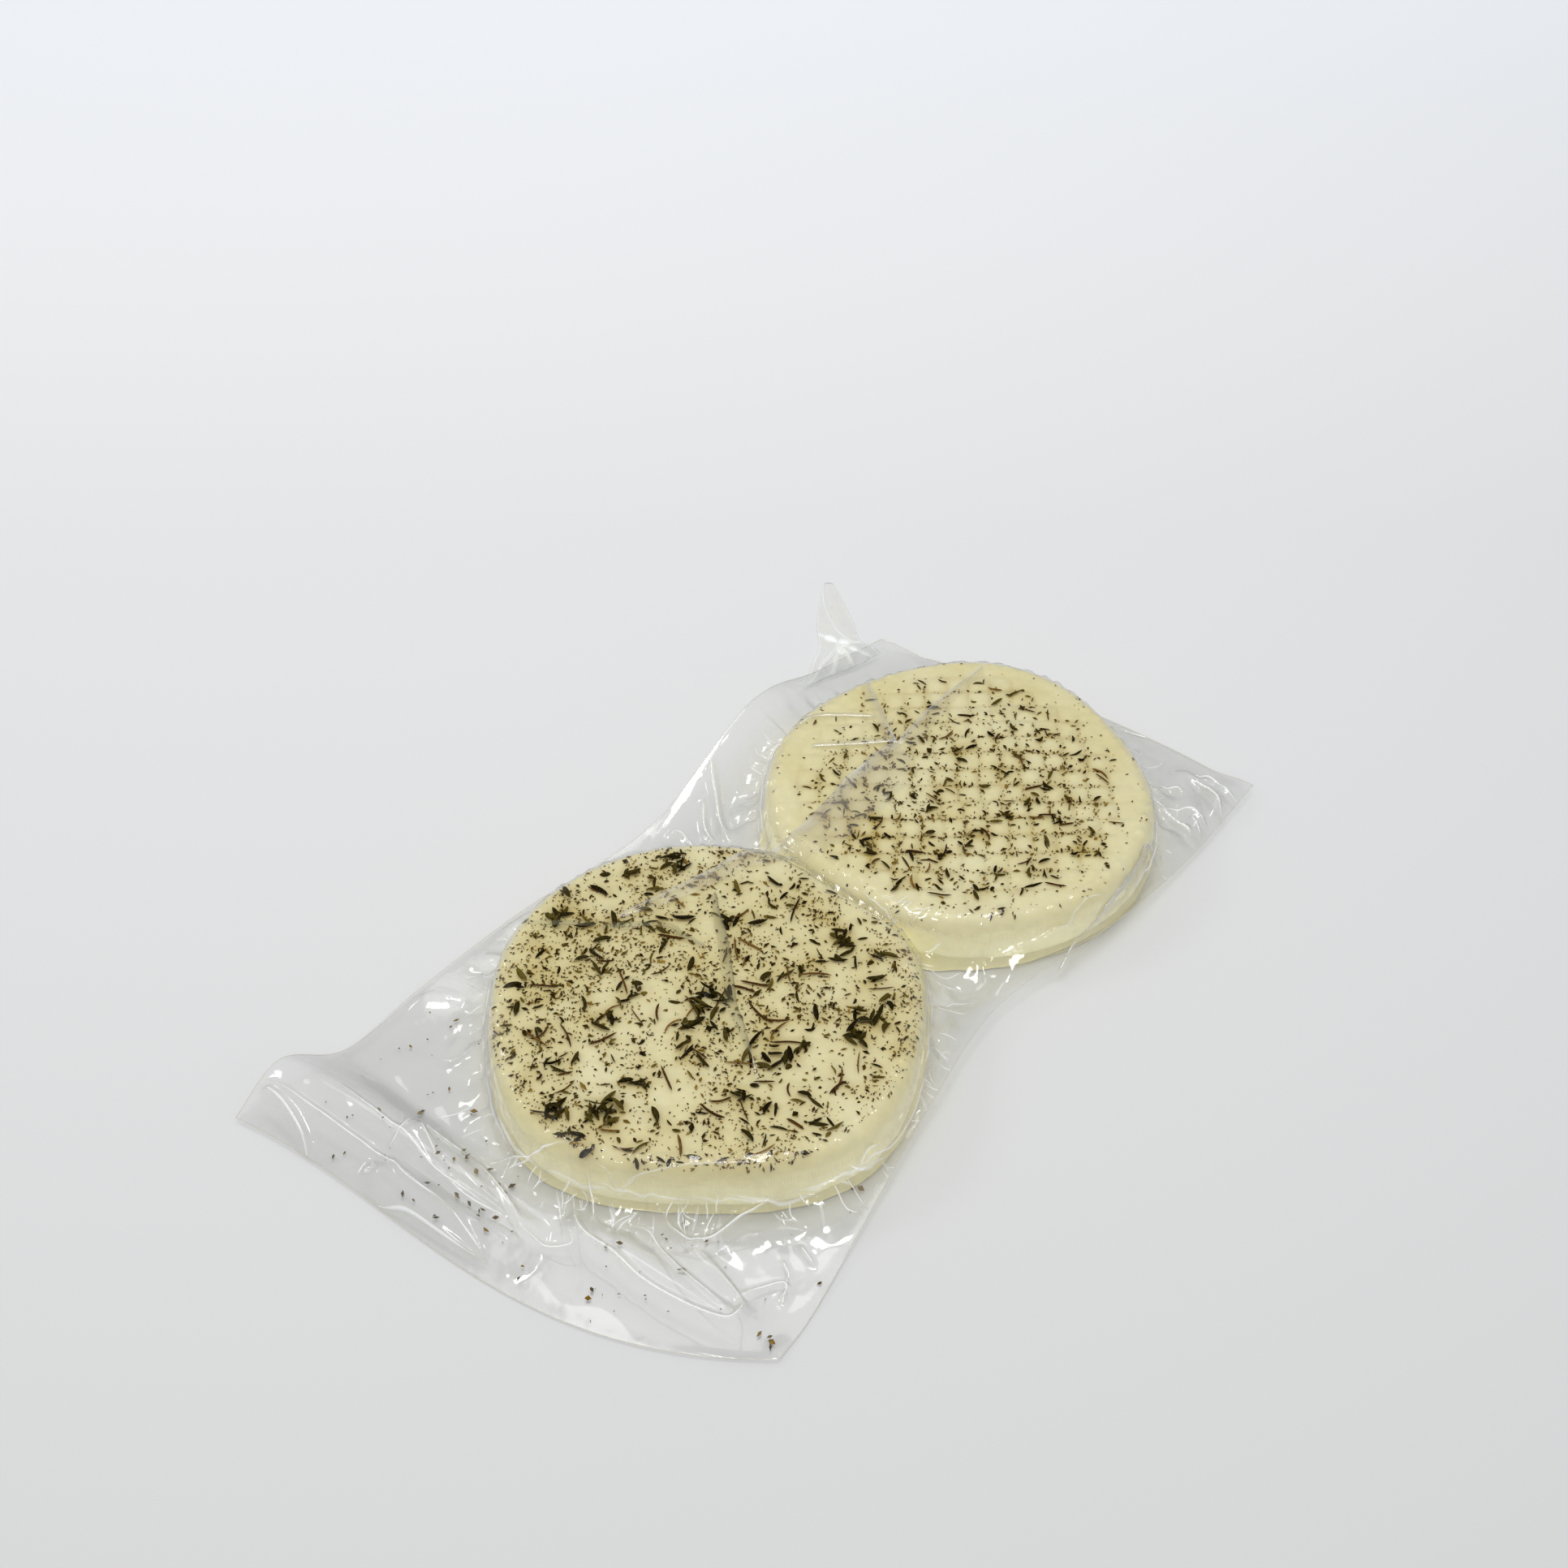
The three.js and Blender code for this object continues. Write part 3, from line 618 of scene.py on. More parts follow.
def slab_shares(name, x, y, z):
    """Shares of colour on a slab: stained where thyme crowds and in the weave's grooves, and wall, which also
    sets the wall's painted glow.
    """
    centre_x, centre_y = slab_centre(SLABS[name])
    crowd = smoothstep(cover_at(x, y, 1), 0.02, 0.6)
    groove = 1 - weave(x - centre_x, y - centre_y)
    fade = smoothstep(-from_rim(SLABS[name], x, y), 5, 12)
    under_thyme = 0.75 * crowd * (0.35 + 0.65 * noise(x, y, *LAYERS["stain"]))
    in_grooves = STREWING[name]["stain"] * fade * groove * noise(x, y, *LAYERS["stained grooves"])
    stain = np.clip(under_thyme + in_grooves, 0, MOST_STAIN)
    return {"stain": stain * (z > STAINED_ABOVE), "wall": 1 - smoothstep(z, STAINED_ABOVE, WALL_BELOW)}


def ring_faces(rows, columns):
    """Quads of a grid that closes on itself round its columns."""
    i, j = np.meshgrid(np.arange(rows - 1), np.arange(columns), indexing="ij")
    this, other = i * columns, (j + 1) % columns
    return np.stack([this + j, this + columns + j, this + columns + other, this + other], -1).reshape(-1, 4)


def closing_faces(rows, columns):
    """Quads that join a tube's last ring to its first."""
    j = np.arange(columns)
    after = (j + 1) % columns
    last = (rows - 1) * columns
    return np.stack([last + j, j, after, last + after], -1)


def grid_faces(rows, columns):
    """Quads of an open grid, facing up where rows run along +X and columns along +Y."""
    i, j = np.meshgrid(np.arange(rows - 1), np.arange(columns - 1), indexing="ij")
    at = i * columns + j
    return np.stack([at, at + columns, at + columns + 1, at + 1], -1).reshape(-1, 4)


def link_mesh(name, points, face_sets, material, attributes=None, smooth=True):
    """A mesh object from arrays: points in millimetres of the plan, faces of any sizes, numbers per point."""
    mesh = bpy.data.meshes.new(name)
    flat = to_frame(np.asarray(points).reshape(-1, 3)).astype(np.float32)
    mesh.vertices.add(len(flat))
    mesh.vertices.foreach_set("co", flat.ravel())
    sizes = np.concatenate([np.full(len(faces), faces.shape[1]) for faces in face_sets])
    loops = np.concatenate([faces.ravel() for faces in face_sets]).astype(np.int32)
    starts = np.concatenate([[0], np.cumsum(sizes)[:-1]]).astype(np.int32)
    mesh.loops.add(len(loops))
    mesh.loops.foreach_set("vertex_index", loops)
    mesh.polygons.add(len(sizes))
    mesh.polygons.foreach_set("loop_start", starts)
    mesh.polygons.foreach_set("use_smooth", np.full(len(sizes), smooth))
    for key, values in (attributes or {}).items():
        layer = mesh.attributes.new(key, "FLOAT", "POINT")
        layer.data.foreach_set("value", np.asarray(values, np.float32).ravel())
    mesh.update(calc_edges=True)
    mesh.validate()
    piece = bpy.data.objects.new(name, mesh)
    bpy.context.scene.collection.objects.link(piece)
    mesh.materials.append(material)
    return piece


def random_stream(seed):
    """The solids' own stream of numbers from 0 to 1: s = (1664525 s + 1013904223) mod 2^32."""
    state = seed
    while True:
        state = (state * 1664525 + 1013904223) % 4294967296
        yield state / 4294967296


def main_flakes(name):
    """The solids' own flakes: for each its kind, x and y from the slab's centre, three scales, turn and tip.

    Clumps come first. Then each flake takes, of ten random places, the one farthest from those before it.
    """
    plan, slab = MAIN_THYME[name], SLABS[name]
    stream = random_stream(plan["seed"])
    taken, flakes = [], []

    def lay(kind, x, y):
        scales = [0.75 + 0.5 * next(stream) for _ in range(3)]
        flakes.append([kind, x, y, *scales, next(stream) * math.pi, (next(stream) - 0.5) * 0.8])

    for clump_x, clump_y, spread in plan["clumps"]:
        for i in range(CLUMP_FLAKES):
            angle = i * 2 * math.pi / CLUMP_FLAKES + next(stream)
            reach = spread * math.sqrt(next(stream))
            lay(1, clump_x + reach * math.cos(angle), clump_y + reach * math.sin(angle))
        taken.append((clump_x, clump_y))
    for kind, count in enumerate(plan["counts"]):
        for _ in range(count):
            best, best_room = None, -1.0
            for _ in range(CANDIDATES):
                angle = next(stream) * 2 * math.pi
                reach = math.sqrt(next(stream))
                x = plan["middle"][0] + plan["reach"][0] * reach * math.cos(angle)
                y = plan["middle"][1] + plan["reach"][1] * reach * math.sin(angle)
                room = min(math.hypot(a - x, b - y) for a, b in taken)
                rim = float(rim_radius(slab, np.array(math.atan2(y, x))))
                if room > best_room and math.hypot(x, y) < rim - TOP_ROUNDING - STEM[0] / 3:
                    best, best_room = (x, y), room
            if best:
                taken.append(best)
                lay(kind, *best)
    return np.array(flakes)


def inside_pouch(x, y):
    """True where x, y is inside the pouch's outline, 2 mm or more from it.

    A line to the right of such a place crosses the outline an odd number of times.
    """
    share = np.linspace(0, 1, 79, endpoint=False)
    ones, back = np.ones_like(share), 1 - share
    sides = [(share, 0 * ones), (ones, share), (back, ones), (0 * ones, back)]
    outline = np.hstack([np.stack(sheet_place(along, across)[:2]) for along, across in sides]).T
    start, end = outline, np.roll(outline, -1, 0)
    x, y = x[:, None], y[:, None]
    crossed = (start[:, 1] > y) != (end[:, 1] > y)
    rise = np.where(end[:, 1] == start[:, 1], 1, end[:, 1] - start[:, 1])
    at = start[:, 0] + (y - start[:, 1]) / rise * (end[:, 0] - start[:, 0])
    inside = (crossed & (x < at)).sum(1) % 2 == 1
    off, _ = path_distance(x[:, 0], y[:, 0], np.vstack([outline, outline[:1]]))
    return inside & (off > 2)


def in_disc(rng, count, reach):
    """Random points evenly over a disc."""
    angle = rng.uniform(0, 2 * math.pi, count)
    distance = reach * np.sqrt(rng.uniform(0, 1, count))
    return distance * np.cos(angle), distance * np.sin(angle)


def between(rng, limits, count, scales=(1, 1, 1)):
    """One array of random numbers for each pair of limits, scaled."""
    return [rng.uniform(*pair, count) * scale for pair, scale in zip(limits, scales)]


def speck_share(name, x, y):
    """Share of specks that stay: in the far slab's grooves and near its middle, or in thick patches."""
    if name == "far":
        in_grooves = 0.05 + 0.95 * smoothstep(1 - weave(x, y), 0.2, 0.7)
        return in_grooves * (0.12 + 0.88 * (1 - smoothstep(np.hypot(x + 4, y + 4), 24, 46)))
    x, y = x + 90, y + 40
    thick = noise(x, y, *LAYERS["thick strewing"]) * 0.75 + noise(x, y, *LAYERS["fine strewing"]) * 0.5
    return 0.22 + 0.78 * smoothstep(thick, 0.35, 0.85)


@functools.lru_cache
def thyme_plan():
    """Every flake on both slabs and loose in the pouch, as one array for each kind.

    Columns: slab (0 near, 1 far, 2 loose), x, y, length, width, thickness, turn, bend, roll, lift, shade.
    """
    settings = bpy.context.scene.saganaki_thyme
    rng = np.random.default_rng(THYME_SEED)
    leaves, stems, specks = [], [], []

    def flakes(slab, x, y, sizes, bend, lift, shades):
        count = len(x)
        shade = rng.uniform(*shades, count)
        turn, roll = rng.uniform(0, math.pi, count), rng.uniform(0, 2 * math.pi, count)
        columns = [slab, x, y, *sizes, turn, rng.normal(0, bend, count), roll, lift, shade]
        return np.column_stack([np.broadcast_to(column, count) for column in columns])

    for number, (name, slab) in enumerate(SLABS.items()):
        centre_x, centre_y = slab_centre(slab)
        strewing = STREWING[name]
        small = strewing["size"]
        main = main_flakes(name)
        kinds = ((0, STEM, SLIM, stems), (1, LEAF, SLIM, leaves), (2, CRUMB, SLIM_CRUMB, specks))
        for kind, base, slim, store in kinds:
            own = main[main[:, 0] == kind]
            sizes = [base[k] * own[:, 3 + k] * slim[k] * (small if k < 2 else 1) for k in range(3)]
            made = flakes(number, centre_x + own[:, 1], centre_y + own[:, 2], sizes, 0.3, 0.25, (0, 0.9))
            made[:, 6] = own[:, 6]
            store.append(made)
        for x, y, spread, count in GATHERED[name]:
            off_x, off_y = rng.normal(0, spread * 0.5, count), rng.normal(0, spread * 0.5, count)
            sizes = between(rng, GATHERED_LEAF, count, (small, small, 1))
            heaped = rng.uniform(0, 1, count) * min(count / 8, 1.1)
            x, y = centre_x + x + off_x, centre_y + y + off_y
            leaves.append(flakes(number, x, y, sizes, 0.35, heaped, (0, 0.85)))
        reach = slab["radius"] - strewing["bare_rim"]
        count = int(settings.leaves * strewing["leaves"])
        x, y = in_disc(rng, count, reach)
        sizes = [1 + rng.gamma(2, 0.7, count) * small, *between(rng, SINGLE_LEAF, count, (small, 1))]
        leaves.append(flakes(number, centre_x + x, centre_y + y, sizes, 0.35, 0.1, (0, 1)))
        count = strewing["stems"]
        x, y = in_disc(rng, count, reach)
        sizes = between(rng, LONG_STEM, count, (small, 1, 1))
        stems.append(flakes(number, centre_x + x, centre_y + y, sizes, 0.4, 0.2, (0.3, 1)))
        count = int(settings.specks * strewing["specks"])
        x, y = in_disc(rng, count, slab["radius"] - 1.5)
        chosen = rng.uniform(0, 1, count) < speck_share(name, x, y)
        x, y = x[chosen], y[chosen]
        size = 0.24 + rng.gamma(1.4, 0.17, len(x))
        sizes = [size * share for share in (*between(rng, [(1, 2.3), (0.55, 0.95)], len(x)), 0.5)]
        specks.append(flakes(number, centre_x + x, centre_y + y, sizes, 0.3, 0.05, (0, 1)))
    loose = np.array(LOOSE, float)
    x, y = np.vstack([loose, loose + rng.normal(0, 2.2, loose.shape)]).T
    length = rng.uniform(0.6, 2.0, len(x))
    sizes = [length, length * rng.uniform(0.35, 0.8, len(x)), length * 0.35]
    crumbs = flakes(2, x, y, sizes, 0.3, 0, (0.4, 1.0))
    specks.append(crumbs[inside_pouch(x, y)])
    x, y = (rng.uniform(low, high, DUST_COUNT) for low, high in zip(DUST_FROM, DUST_TO))
    dust = flakes(2, x, y, between(rng, DUST, DUST_COUNT), 0.2, 0, (0, 1))
    specks.append(dust[(from_rim(SLABS["near"], x, y) > 3) & inside_pouch(x, y)])
    return {"leaves": on_slabs(leaves), "stems": on_slabs(stems), "specks": on_slabs(specks)}


def on_slabs(found):
    """The flakes that are loose, or lie on their slab: the longer a flake, the farther in from the rim."""
    plan = np.vstack(found)
    slab, x, y, length = plan[:, :4].T
    off = np.where(slab == 0, from_rim(SLABS["near"], x, y), from_rim(SLABS["far"], x, y))
    return plan[(slab == 2) | (off < -0.8 - 0.45 * length)]


def rest_height(slab, x, y):
    """What a flake at x, y lies on: its slab's face, or the under film past the slabs."""
    return np.select([slab == 0, slab == 1], [slab_height(name, x, y) for name in SLABS], LOOSE_HEIGHT)


def flake_points(plan, stations, sides, blunt):
    """Spindles laid on the cheese, all at once: an array [flake, station, side, xyz].

    Along s from -1 to 1 the half width is (1 - |s|^blunt)^0.7. The middle line bends by bend * s^2 to the
    side and curls up at its tips, and each cross-section is an ellipse, tilted by 0.5 sin(roll).
    """
    s = np.linspace(-1, 1, stations)[None, :, None]
    phi = np.linspace(0, 2 * math.pi, sides, endpoint=False)[None, None, :]
    columns = (plan[:, k][:, None, None] for k in range(11))
    slab, x, y, length, width, thickness, turn, bend, roll, lift, _ = columns
    wide = np.maximum(1 - np.abs(s) ** blunt, 0.02) ** 0.7
    tilt = 0.5 * np.sin(roll)
    across, up = 0.5 * width * np.cos(phi), 0.5 * thickness * np.sin(phi)
    off = wide * (across * np.cos(tilt) - up * np.sin(tilt)) + bend * 0.22 * length * (s**2 - 0.4)
    high = wide * (across * np.sin(tilt) + up * np.cos(tilt) + 0.2 * np.abs(np.cos(phi)) * width)
    run = 0.5 * length * s * (1 - 0.08 * np.abs(bend))
    px = x + run * np.cos(turn) - off * np.sin(turn)
    py = y + run * np.sin(turn) + off * np.cos(turn)
    under = rest_height(np.broadcast_to(slab, px.shape), px, py)
    curl = 0.12 * length * (s**2) * np.maximum(np.cos(roll), 0) * np.minimum(lift + 0.3, 1)
    pz = under + high + thickness * (0.5 - PRESSED_IN * 0.6) + lift + curl
    return np.stack([px, py, pz], -1)


def spindle_faces(count, stations, sides):
    """Faces of count spindles: rings of quads, and one polygon at each tip."""
    ring = ring_faces(stations, sides)
    tips = np.array([np.arange(sides), np.arange(sides)[::-1] + (stations - 1) * sides])
    steps = (np.arange(count) * stations * sides)[:, None, None]
    return [(ring[None] + steps).reshape(-1, 4)[:, ::-1], (tips[None] + steps).reshape(-1, sides)]


def blurred(raster, reach):
    """A raster averaged with Gaussian weights of a reach in millimetres, along each axis in turn."""
    half = int(3 * reach / COVER_CELL)
    kernel = np.exp(-0.5 * (np.arange(-half, half + 1) * COVER_CELL / reach) ** 2)
    kernel /= kernel.sum()
    for axis in (0, 1):
        raster = sum(np.roll(raster, k - half, axis) * weight for k, weight in enumerate(kernel))
    return raster


@functools.lru_cache
def flake_cover():
    """Two rasters of the pouch: how far flakes stand above what they lie on, and how crowded they are."""
    cover = np.zeros(COVER_SHAPE)
    for kind, form in FLAKE_FORMS.items():
        plan = thyme_plan()[kind]
        points = flake_points(plan, *form).reshape(len(plan), -1, 3)
        under = rest_height(np.broadcast_to(plan[:, :1], points.shape[:2]), points[..., 0], points[..., 1])
        index = ((points[..., :2].reshape(-1, 2) - COVER_FROM) / COVER_CELL).astype(int)
        index = np.clip(index, 0, np.array(COVER_SHAPE) - 1)
        np.maximum.at(cover, (index[:, 0], index[:, 1]), (points[..., 2] - under).ravel())
    spread = cover.copy()
    for step in np.ndindex(3, 3):
        spread = np.maximum(spread, np.roll(cover, (step[0] - 1, step[1] - 1), (0, 1)))
    return blurred(spread, COVER_SOFTNESS), blurred(np.minimum(cover * 3, 1), CROWD_SOFTNESS)


def cover_at(x, y, layer=0):
    """A raster of flake_cover, 0 for height and 1 for crowding, read at x, y between its cells."""
    cover = flake_cover()[layer]
    u = np.clip((x - COVER_FROM[0]) / COVER_CELL - 0.5, 0, cover.shape[0] - 1.001)
    v = np.clip((y - COVER_FROM[1]) / COVER_CELL - 0.5, 0, cover.shape[1] - 1.001)
    i, j = u.astype(int), v.astype(int)
    s, t = u - i, v - j
    return ((cover[i, j] * (1 - s) + cover[i + 1, j] * s) * (1 - t)
            + (cover[i, j + 1] * (1 - s) + cover[i + 1, j + 1] * s) * t)


def sheet_place(along, across):
    """The pouch's plan and the lift of its edges at shares along and across it, as the solid has them.

    The near end bows by 6.75 a (1 - a)^2 of its bow at share a across, and the far end by 4 a (1 - a).
    """
    right, left = spline(RIGHT_EDGE, along), spline(LEFT_EDGE, along)
    place = right + (left - right) * across[..., None]
    skewed = 6.75 * across * (1 - across) ** 2
    even = 4 * across * (1 - across)
    x = place[..., 0] - NEAR_END_BOW * skewed * np.maximum(1 - along / NEAR_BOW_SHARE, 0) ** 2
    x = x + FAR_END_BOW * even * np.maximum(1 - (1 - along) / FAR_BOW_SHARE, 0) ** 2
    y = place[..., 1]
    reach = LIFT_REACH[0] + (LIFT_REACH[1] - LIFT_REACH[0]) * smoothstep(along, 0.1, 0.25)
    rise = np.maximum(right[..., 2], 0) * (1 - smoothstep(across / reach, 0, 1))
    rise = rise + np.maximum(left[..., 2], 0) * (1 - smoothstep((1 - across) / reach, 0, 1))
    return x, y, rise * smoothstep(from_slabs(x, y), 0, 3)


def smooth_path(points):
    """A crease with its corners rounded: four points of a curve for each piece, or its one piece as it is."""
    if len(points) == 2:
        return points
    return spline(points, np.linspace(0, 1, 4 * (len(points) - 1) + 1))


def crease_rise(x, y):
    """The puffed creases as the solid has them: the tallest of height * exp(-(distance / half width)^2)."""
    rise = np.zeros_like(x)
    for start, end, height, reach in CREASES:
        off, _ = path_distance(x, y, [start, end])
        rise = np.maximum(rise, height * bell(off / reach))
    return rise


def fold_rise(x, y, folds):
    """Sharp folds: height * (1 - distance / half width)^1.4, fading towards both ends of the line."""
    rise = np.zeros_like(x)
    for points, height, reach in folds:
        off, where = path_distance(x, y, smooth_path(points))
        ends = smoothstep(np.minimum(where, 1 - where), -0.05, 0.16)
        rise = np.maximum(rise, height * ends * np.maximum(1 - off / reach, 0) ** 1.4)
    return rise


def margin_height(x, y, lift, near, far):
    """Height of the upper film past the slabs, at distances near and far from their rims.

    The tent falls as a bell from the rims, pinched into pleats, and stands higher where the slabs meet.
    Creases, crumples, slack, swells and sharp folds add to it. A shoulder falls from the slabs' rounding by
    exp(-foot / reach), with a reach that differs from pleat to pleat.
    """
    foot = np.maximum(np.minimum(near, far), 0)
    both = np.maximum(near, 0) + np.maximum(far, 0)
    centre_x, centre_y = slab_centre(SLABS["near"])
    around = np.arctan2(y - centre_y, np.where(near < far, x - centre_x, centre_x + SLAB_SPACING - x))
    outwards = foot * PLEAT_WANDER
    pleated = np.abs(noise(around * TENT_PLEATS, outwards, *LAYERS["tent pleats"]) - 0.5) * 2
    tent = TENT_HEIGHT * bell(foot / TENT_REACH) * (1 - 0.5 * (1 - pleated) * smoothstep(foot, 0, 2.5))
    tent = tent + CUSP_HEIGHT * bell(both / CUSP_REACH)
    crumple = facets(x, y, *LAYERS["crumple"]) - 0.5
    slack = CRUMPLE_HEIGHT * crumple * bell((foot - CRUMPLE_AT) / CRUMPLE_REACH)
    slack = slack + SLACK_HEIGHT * (facets(x, y, *LAYERS["slack"]) - 0.5)
    slack = slack + SWELL_HEIGHT * (noise(x, y, *LAYERS["swell"]) - 0.5)
    height = lift + SHEET + np.maximum(tent, crease_rise(x, y)) + slack * smoothstep(foot, 0.3, 3)
    height = height + FOLD_GAIN * fold_rise(x, y, FOLDS) * smoothstep(foot, 0.5, 3)
    height = np.maximum(height, lift + 0.35)
    tight = noise(around * SHOULDER_PLEATS, outwards, *LAYERS["tight shoulder"]) ** 3
    rounding_foot = SLAB_TOP - TOP_ROUNDING + 0.1
    return height + (rounding_foot - SHEET - TENT_HEIGHT) * np.exp(-foot / (0.45 + 2.4 * tight))


def film_height(x, y, lift):
    """Height of the upper film: over a slab it follows cheese and thyme, and past it the margins."""
    near, far = from_rim(SLABS["near"], x, y), from_rim(SLABS["far"], x, y)
    on_rounding = smoothstep(np.minimum(near, far), -6.5, -2.5)
    wrinkles = RIM_WRINKLES * smoothstep(facets(x, y, *LAYERS["rim wrinkles"]), 0.45, 0.85) * on_rounding
    skin = SKIN_GAP + SKIN_WAVES * facets(x, y, *LAYERS["skin"]) + wrinkles
    skin = skin + cover_at(x, y) + fold_rise(x, y, TIGHT_CREASES)
    height = np.where(near < 0, slab_height("near", x, y) + skin, margin_height(x, y, lift, near, far))
    return np.where(far < 0, slab_height("far", x, y) + skin, height)


def towards_rims(x, y):
    """Draws grid points to the slabs' rims, where the film is steepest: f moves by -0.6 f exp(-(f / 5)^2)."""
    for slab in SLABS.values():
        centre_x, centre_y = slab_centre(slab)
        off = from_rim(slab, x, y)
        distance = np.maximum(np.hypot(x - centre_x, y - centre_y), 1e-6)
        shift = -0.6 * off * bell(off / 5) / distance
        x, y = x + shift * (x - centre_x), y + shift * (y - centre_y)
    return x, y


@functools.lru_cache
def film_sheet(rows, columns, upper):
    """One of the pouch's two films over a grid of shares; they meet along the edge, halfway up its sheet."""
    along, across = np.meshgrid(np.linspace(0, 1, rows), np.linspace(0, 1, columns), indexing="ij")
    x, y, lift = sheet_place(along, across)
    rim = np.minimum(np.minimum(across, 1 - across), np.minimum(along, 1 - along) * 2)
    seam = smoothstep(rim, 0, 0.035)
    if upper:
        inner_x, inner_y = towards_rims(x, y)
        x, y = x + (inner_x - x) * seam, y + (inner_y - y) * seam
        height = film_height(x, y, lift)
    else:
        height = lift + 0.08 + 0.12 * facets(x, y, *LAYERS["under film"])
    edge = lift + SHEET / 2
    return np.stack([x, y, edge + (height - edge) * seam], -1)


def film_haze(x, y):
    """Cloudiness of the upper film from 0 to 1: along folds, at the slabs' feet and in patches near them."""
    foot = np.maximum(from_slabs(x, y), 0)
    near_fold = np.zeros_like(x)
    for points, _, reach in FOLDS:
        off, _ = path_distance(x, y, points)
        near_fold = np.maximum(near_fold, bell(off / (0.3 * reach)))
    patches = smoothstep(noise(x, y, *LAYERS["cloudy patches"]), 0.45, 0.9) * np.exp(-foot / 14) * (foot > 0)
    at_foot = bell(foot / 2.2) * (foot > 0) * (0.25 + 0.6 * facets(x, y, *LAYERS["cloudy foot"]))
    return np.clip(0.3 * near_fold + 0.25 * patches + at_foot, 0, 1)


def clings(x, y):
    """How far the film clings wet to a slab: 1 well inside the rims, 0 past them."""
    return 1 - smoothstep(from_slabs(x, y), -6.5, -1.5)


def fin_folds(across, along):
    """Nearness to the standing corner's folds: 1 on a fold, and 0 from FIN_RIDGE to each side of it."""
    near = np.zeros_like(across)
    for points in FIN_LINES:
        off, _ = path_distance(across * FIN_SIZE[0], along * FIN_SIZE[1], np.array(points) * FIN_SIZE)
        near = np.maximum(near, np.maximum(1 - off / FIN_RIDGE, 0))
    return near


def fin_grid(rows, columns):
    """The far left corner's film: a flat sleeve that stands up, narrows and turns, pinched by slanting folds.

    Round the sleeve the share across runs from 0 to 1 and back, and its skin stands out by FIN_SKIN times the
    sine of the way round.
    """
    shares = np.linspace(0, 1, rows), np.linspace(0, 1, columns, endpoint=False)
    along, around = np.meshgrid(*shares, indexing="ij")
    across = 1 - np.abs(1 - 2 * around)
    stations = spline(FIN_STATIONS, along)
    height, width, twist, lean = (stations[..., k] for k in range(4))
    width = width * (1.15 + 0.3 * np.maximum(1 - along * 2.5, 0))
    turn = np.radians(FIN_TURN + twist)
    offset = (across - 0.5) * width
    inner = smoothstep(np.minimum(across, 1 - across), 0, 0.25)
    skin = FIN_CRUMPLE * (facets(offset, height, *LAYERS["corner"]) - 0.5) * inner
    skin = skin - FIN_SKIN * np.sin(2 * math.pi * around) - 0.5 * fin_folds(across, along) * inner
    x = FIN_FOOT[0] + offset * np.cos(turn) - skin * np.sin(turn)
    y = FIN_FOOT[1] + lean + offset * np.sin(turn) + skin * np.cos(turn)
    return np.stack([x, y, FIN_FOOT[2] + height], -1), across, along


def fin_painted_highlights(across, along):
    """Painted highlights on the standing corner, as milk that glows: along both edges, on its folds, and on
    glints of exp(-u^2 - v^2).
    """
    edges = np.maximum(1 - np.minimum(across, 1 - across) / 0.05, 0)
    shine = np.maximum(0.55 * edges, 0.6 * fin_folds(across, along))
    for middle_across, middle_along, wide, tall in FIN_PAINTED_GLINTS:
        slanted = along - middle_along + 0.12 * (across - middle_across)
        glint = np.exp(-(((across - middle_across) / wide) ** 2) - (slanted / tall) ** 2)
        shine = np.maximum(shine, smoothstep(glint, 0.2, 0.6))
    return np.clip(0.02 + shine, 0, 1)


def painted_glint_round_foot(rng, slab, start):
    """A painted highlight along a crease that runs along a slab's foot from a direction in degrees, and
    wanders off it.
    """
    angle = np.radians(start + rng.uniform(0, 8) + np.linspace(0, rng.uniform(14, 34), 9))
    off = np.linspace(rng.uniform(0.2, 1.0), rng.uniform(0.3, 2.4), 9)
    reach = rim_radius(slab, angle) + (off + 0.5 * noise(angle * 9, 0 * angle, *LAYERS["foot crease"]))
    ring = np.column_stack([reach * np.cos(angle), reach * np.sin(angle)]) + slab_centre(slab)
    return [ring, rng.uniform(0.2, 0.4), rng.uniform(0.25, 0.5)]


def painted_glint_from_foot(rng, slab, first, last):
    """A painted highlight along a short crease that runs out from a slab's foot, between two directions: the
    narrower, the brighter.
    """
    angle = math.radians(rng.uniform(first, last))
    reach = float(rim_radius(slab, np.array(angle))) + rng.uniform(0.1, 4)
    length, heading = 2.0 + rng.gamma(1.8, 1.7), angle + rng.normal(0, 0.55)
    foot = np.array(slab_centre(slab)) + reach * np.array([math.cos(angle), math.sin(angle)])
    run = length * np.array([math.cos(heading), math.sin(heading)])
    middle = foot + run / 2 + rng.normal(0, 0.12) * np.array([-run[1], run[0]])
    half = 0.12 + rng.gamma(1.2, 0.12)
    return [smooth_path([foot, middle, foot + run]), half, rng.uniform(0.1, 0.22) / half**0.8]


def crease_glint_lines():
    """Creases that carry a painted highlight: points, half width, brightness. Sharp folds first, then short
    ones by chance.
    """
    narrow = [fold for fold in FOLDS if fold[0][0][0] < WIDE_FOLDS_FROM]
    wide = [fold for fold in FOLDS if fold[0][0][0] > WIDE_FOLDS_FROM]
    lines = [[smooth_path(points), 0.06 + 0.13 * reach, 0.75] for points, _, reach in narrow]
    lines += [[smooth_path(points), 0.1 + 0.2 * reach, 1.0] for points, _, reach in wide]
    lines += [[points, 0.2, 0.3] for points, *_ in TIGHT_CREASES]
    rng = np.random.default_rng(CREASE_SEED)
    for name, sectors in FOOT_PAINTED_GLINTS.items():
        slab = SLABS[name]
        for _, first, last in sectors:
            starts = np.arange(first, last, FOOT_CREASE_STEP)
            lines += [painted_glint_round_foot(rng, slab, start) for start in starts]
        for count, first, last in sectors:
            lines += [painted_glint_from_foot(rng, slab, first, last) for _ in range(count)]
    return lines


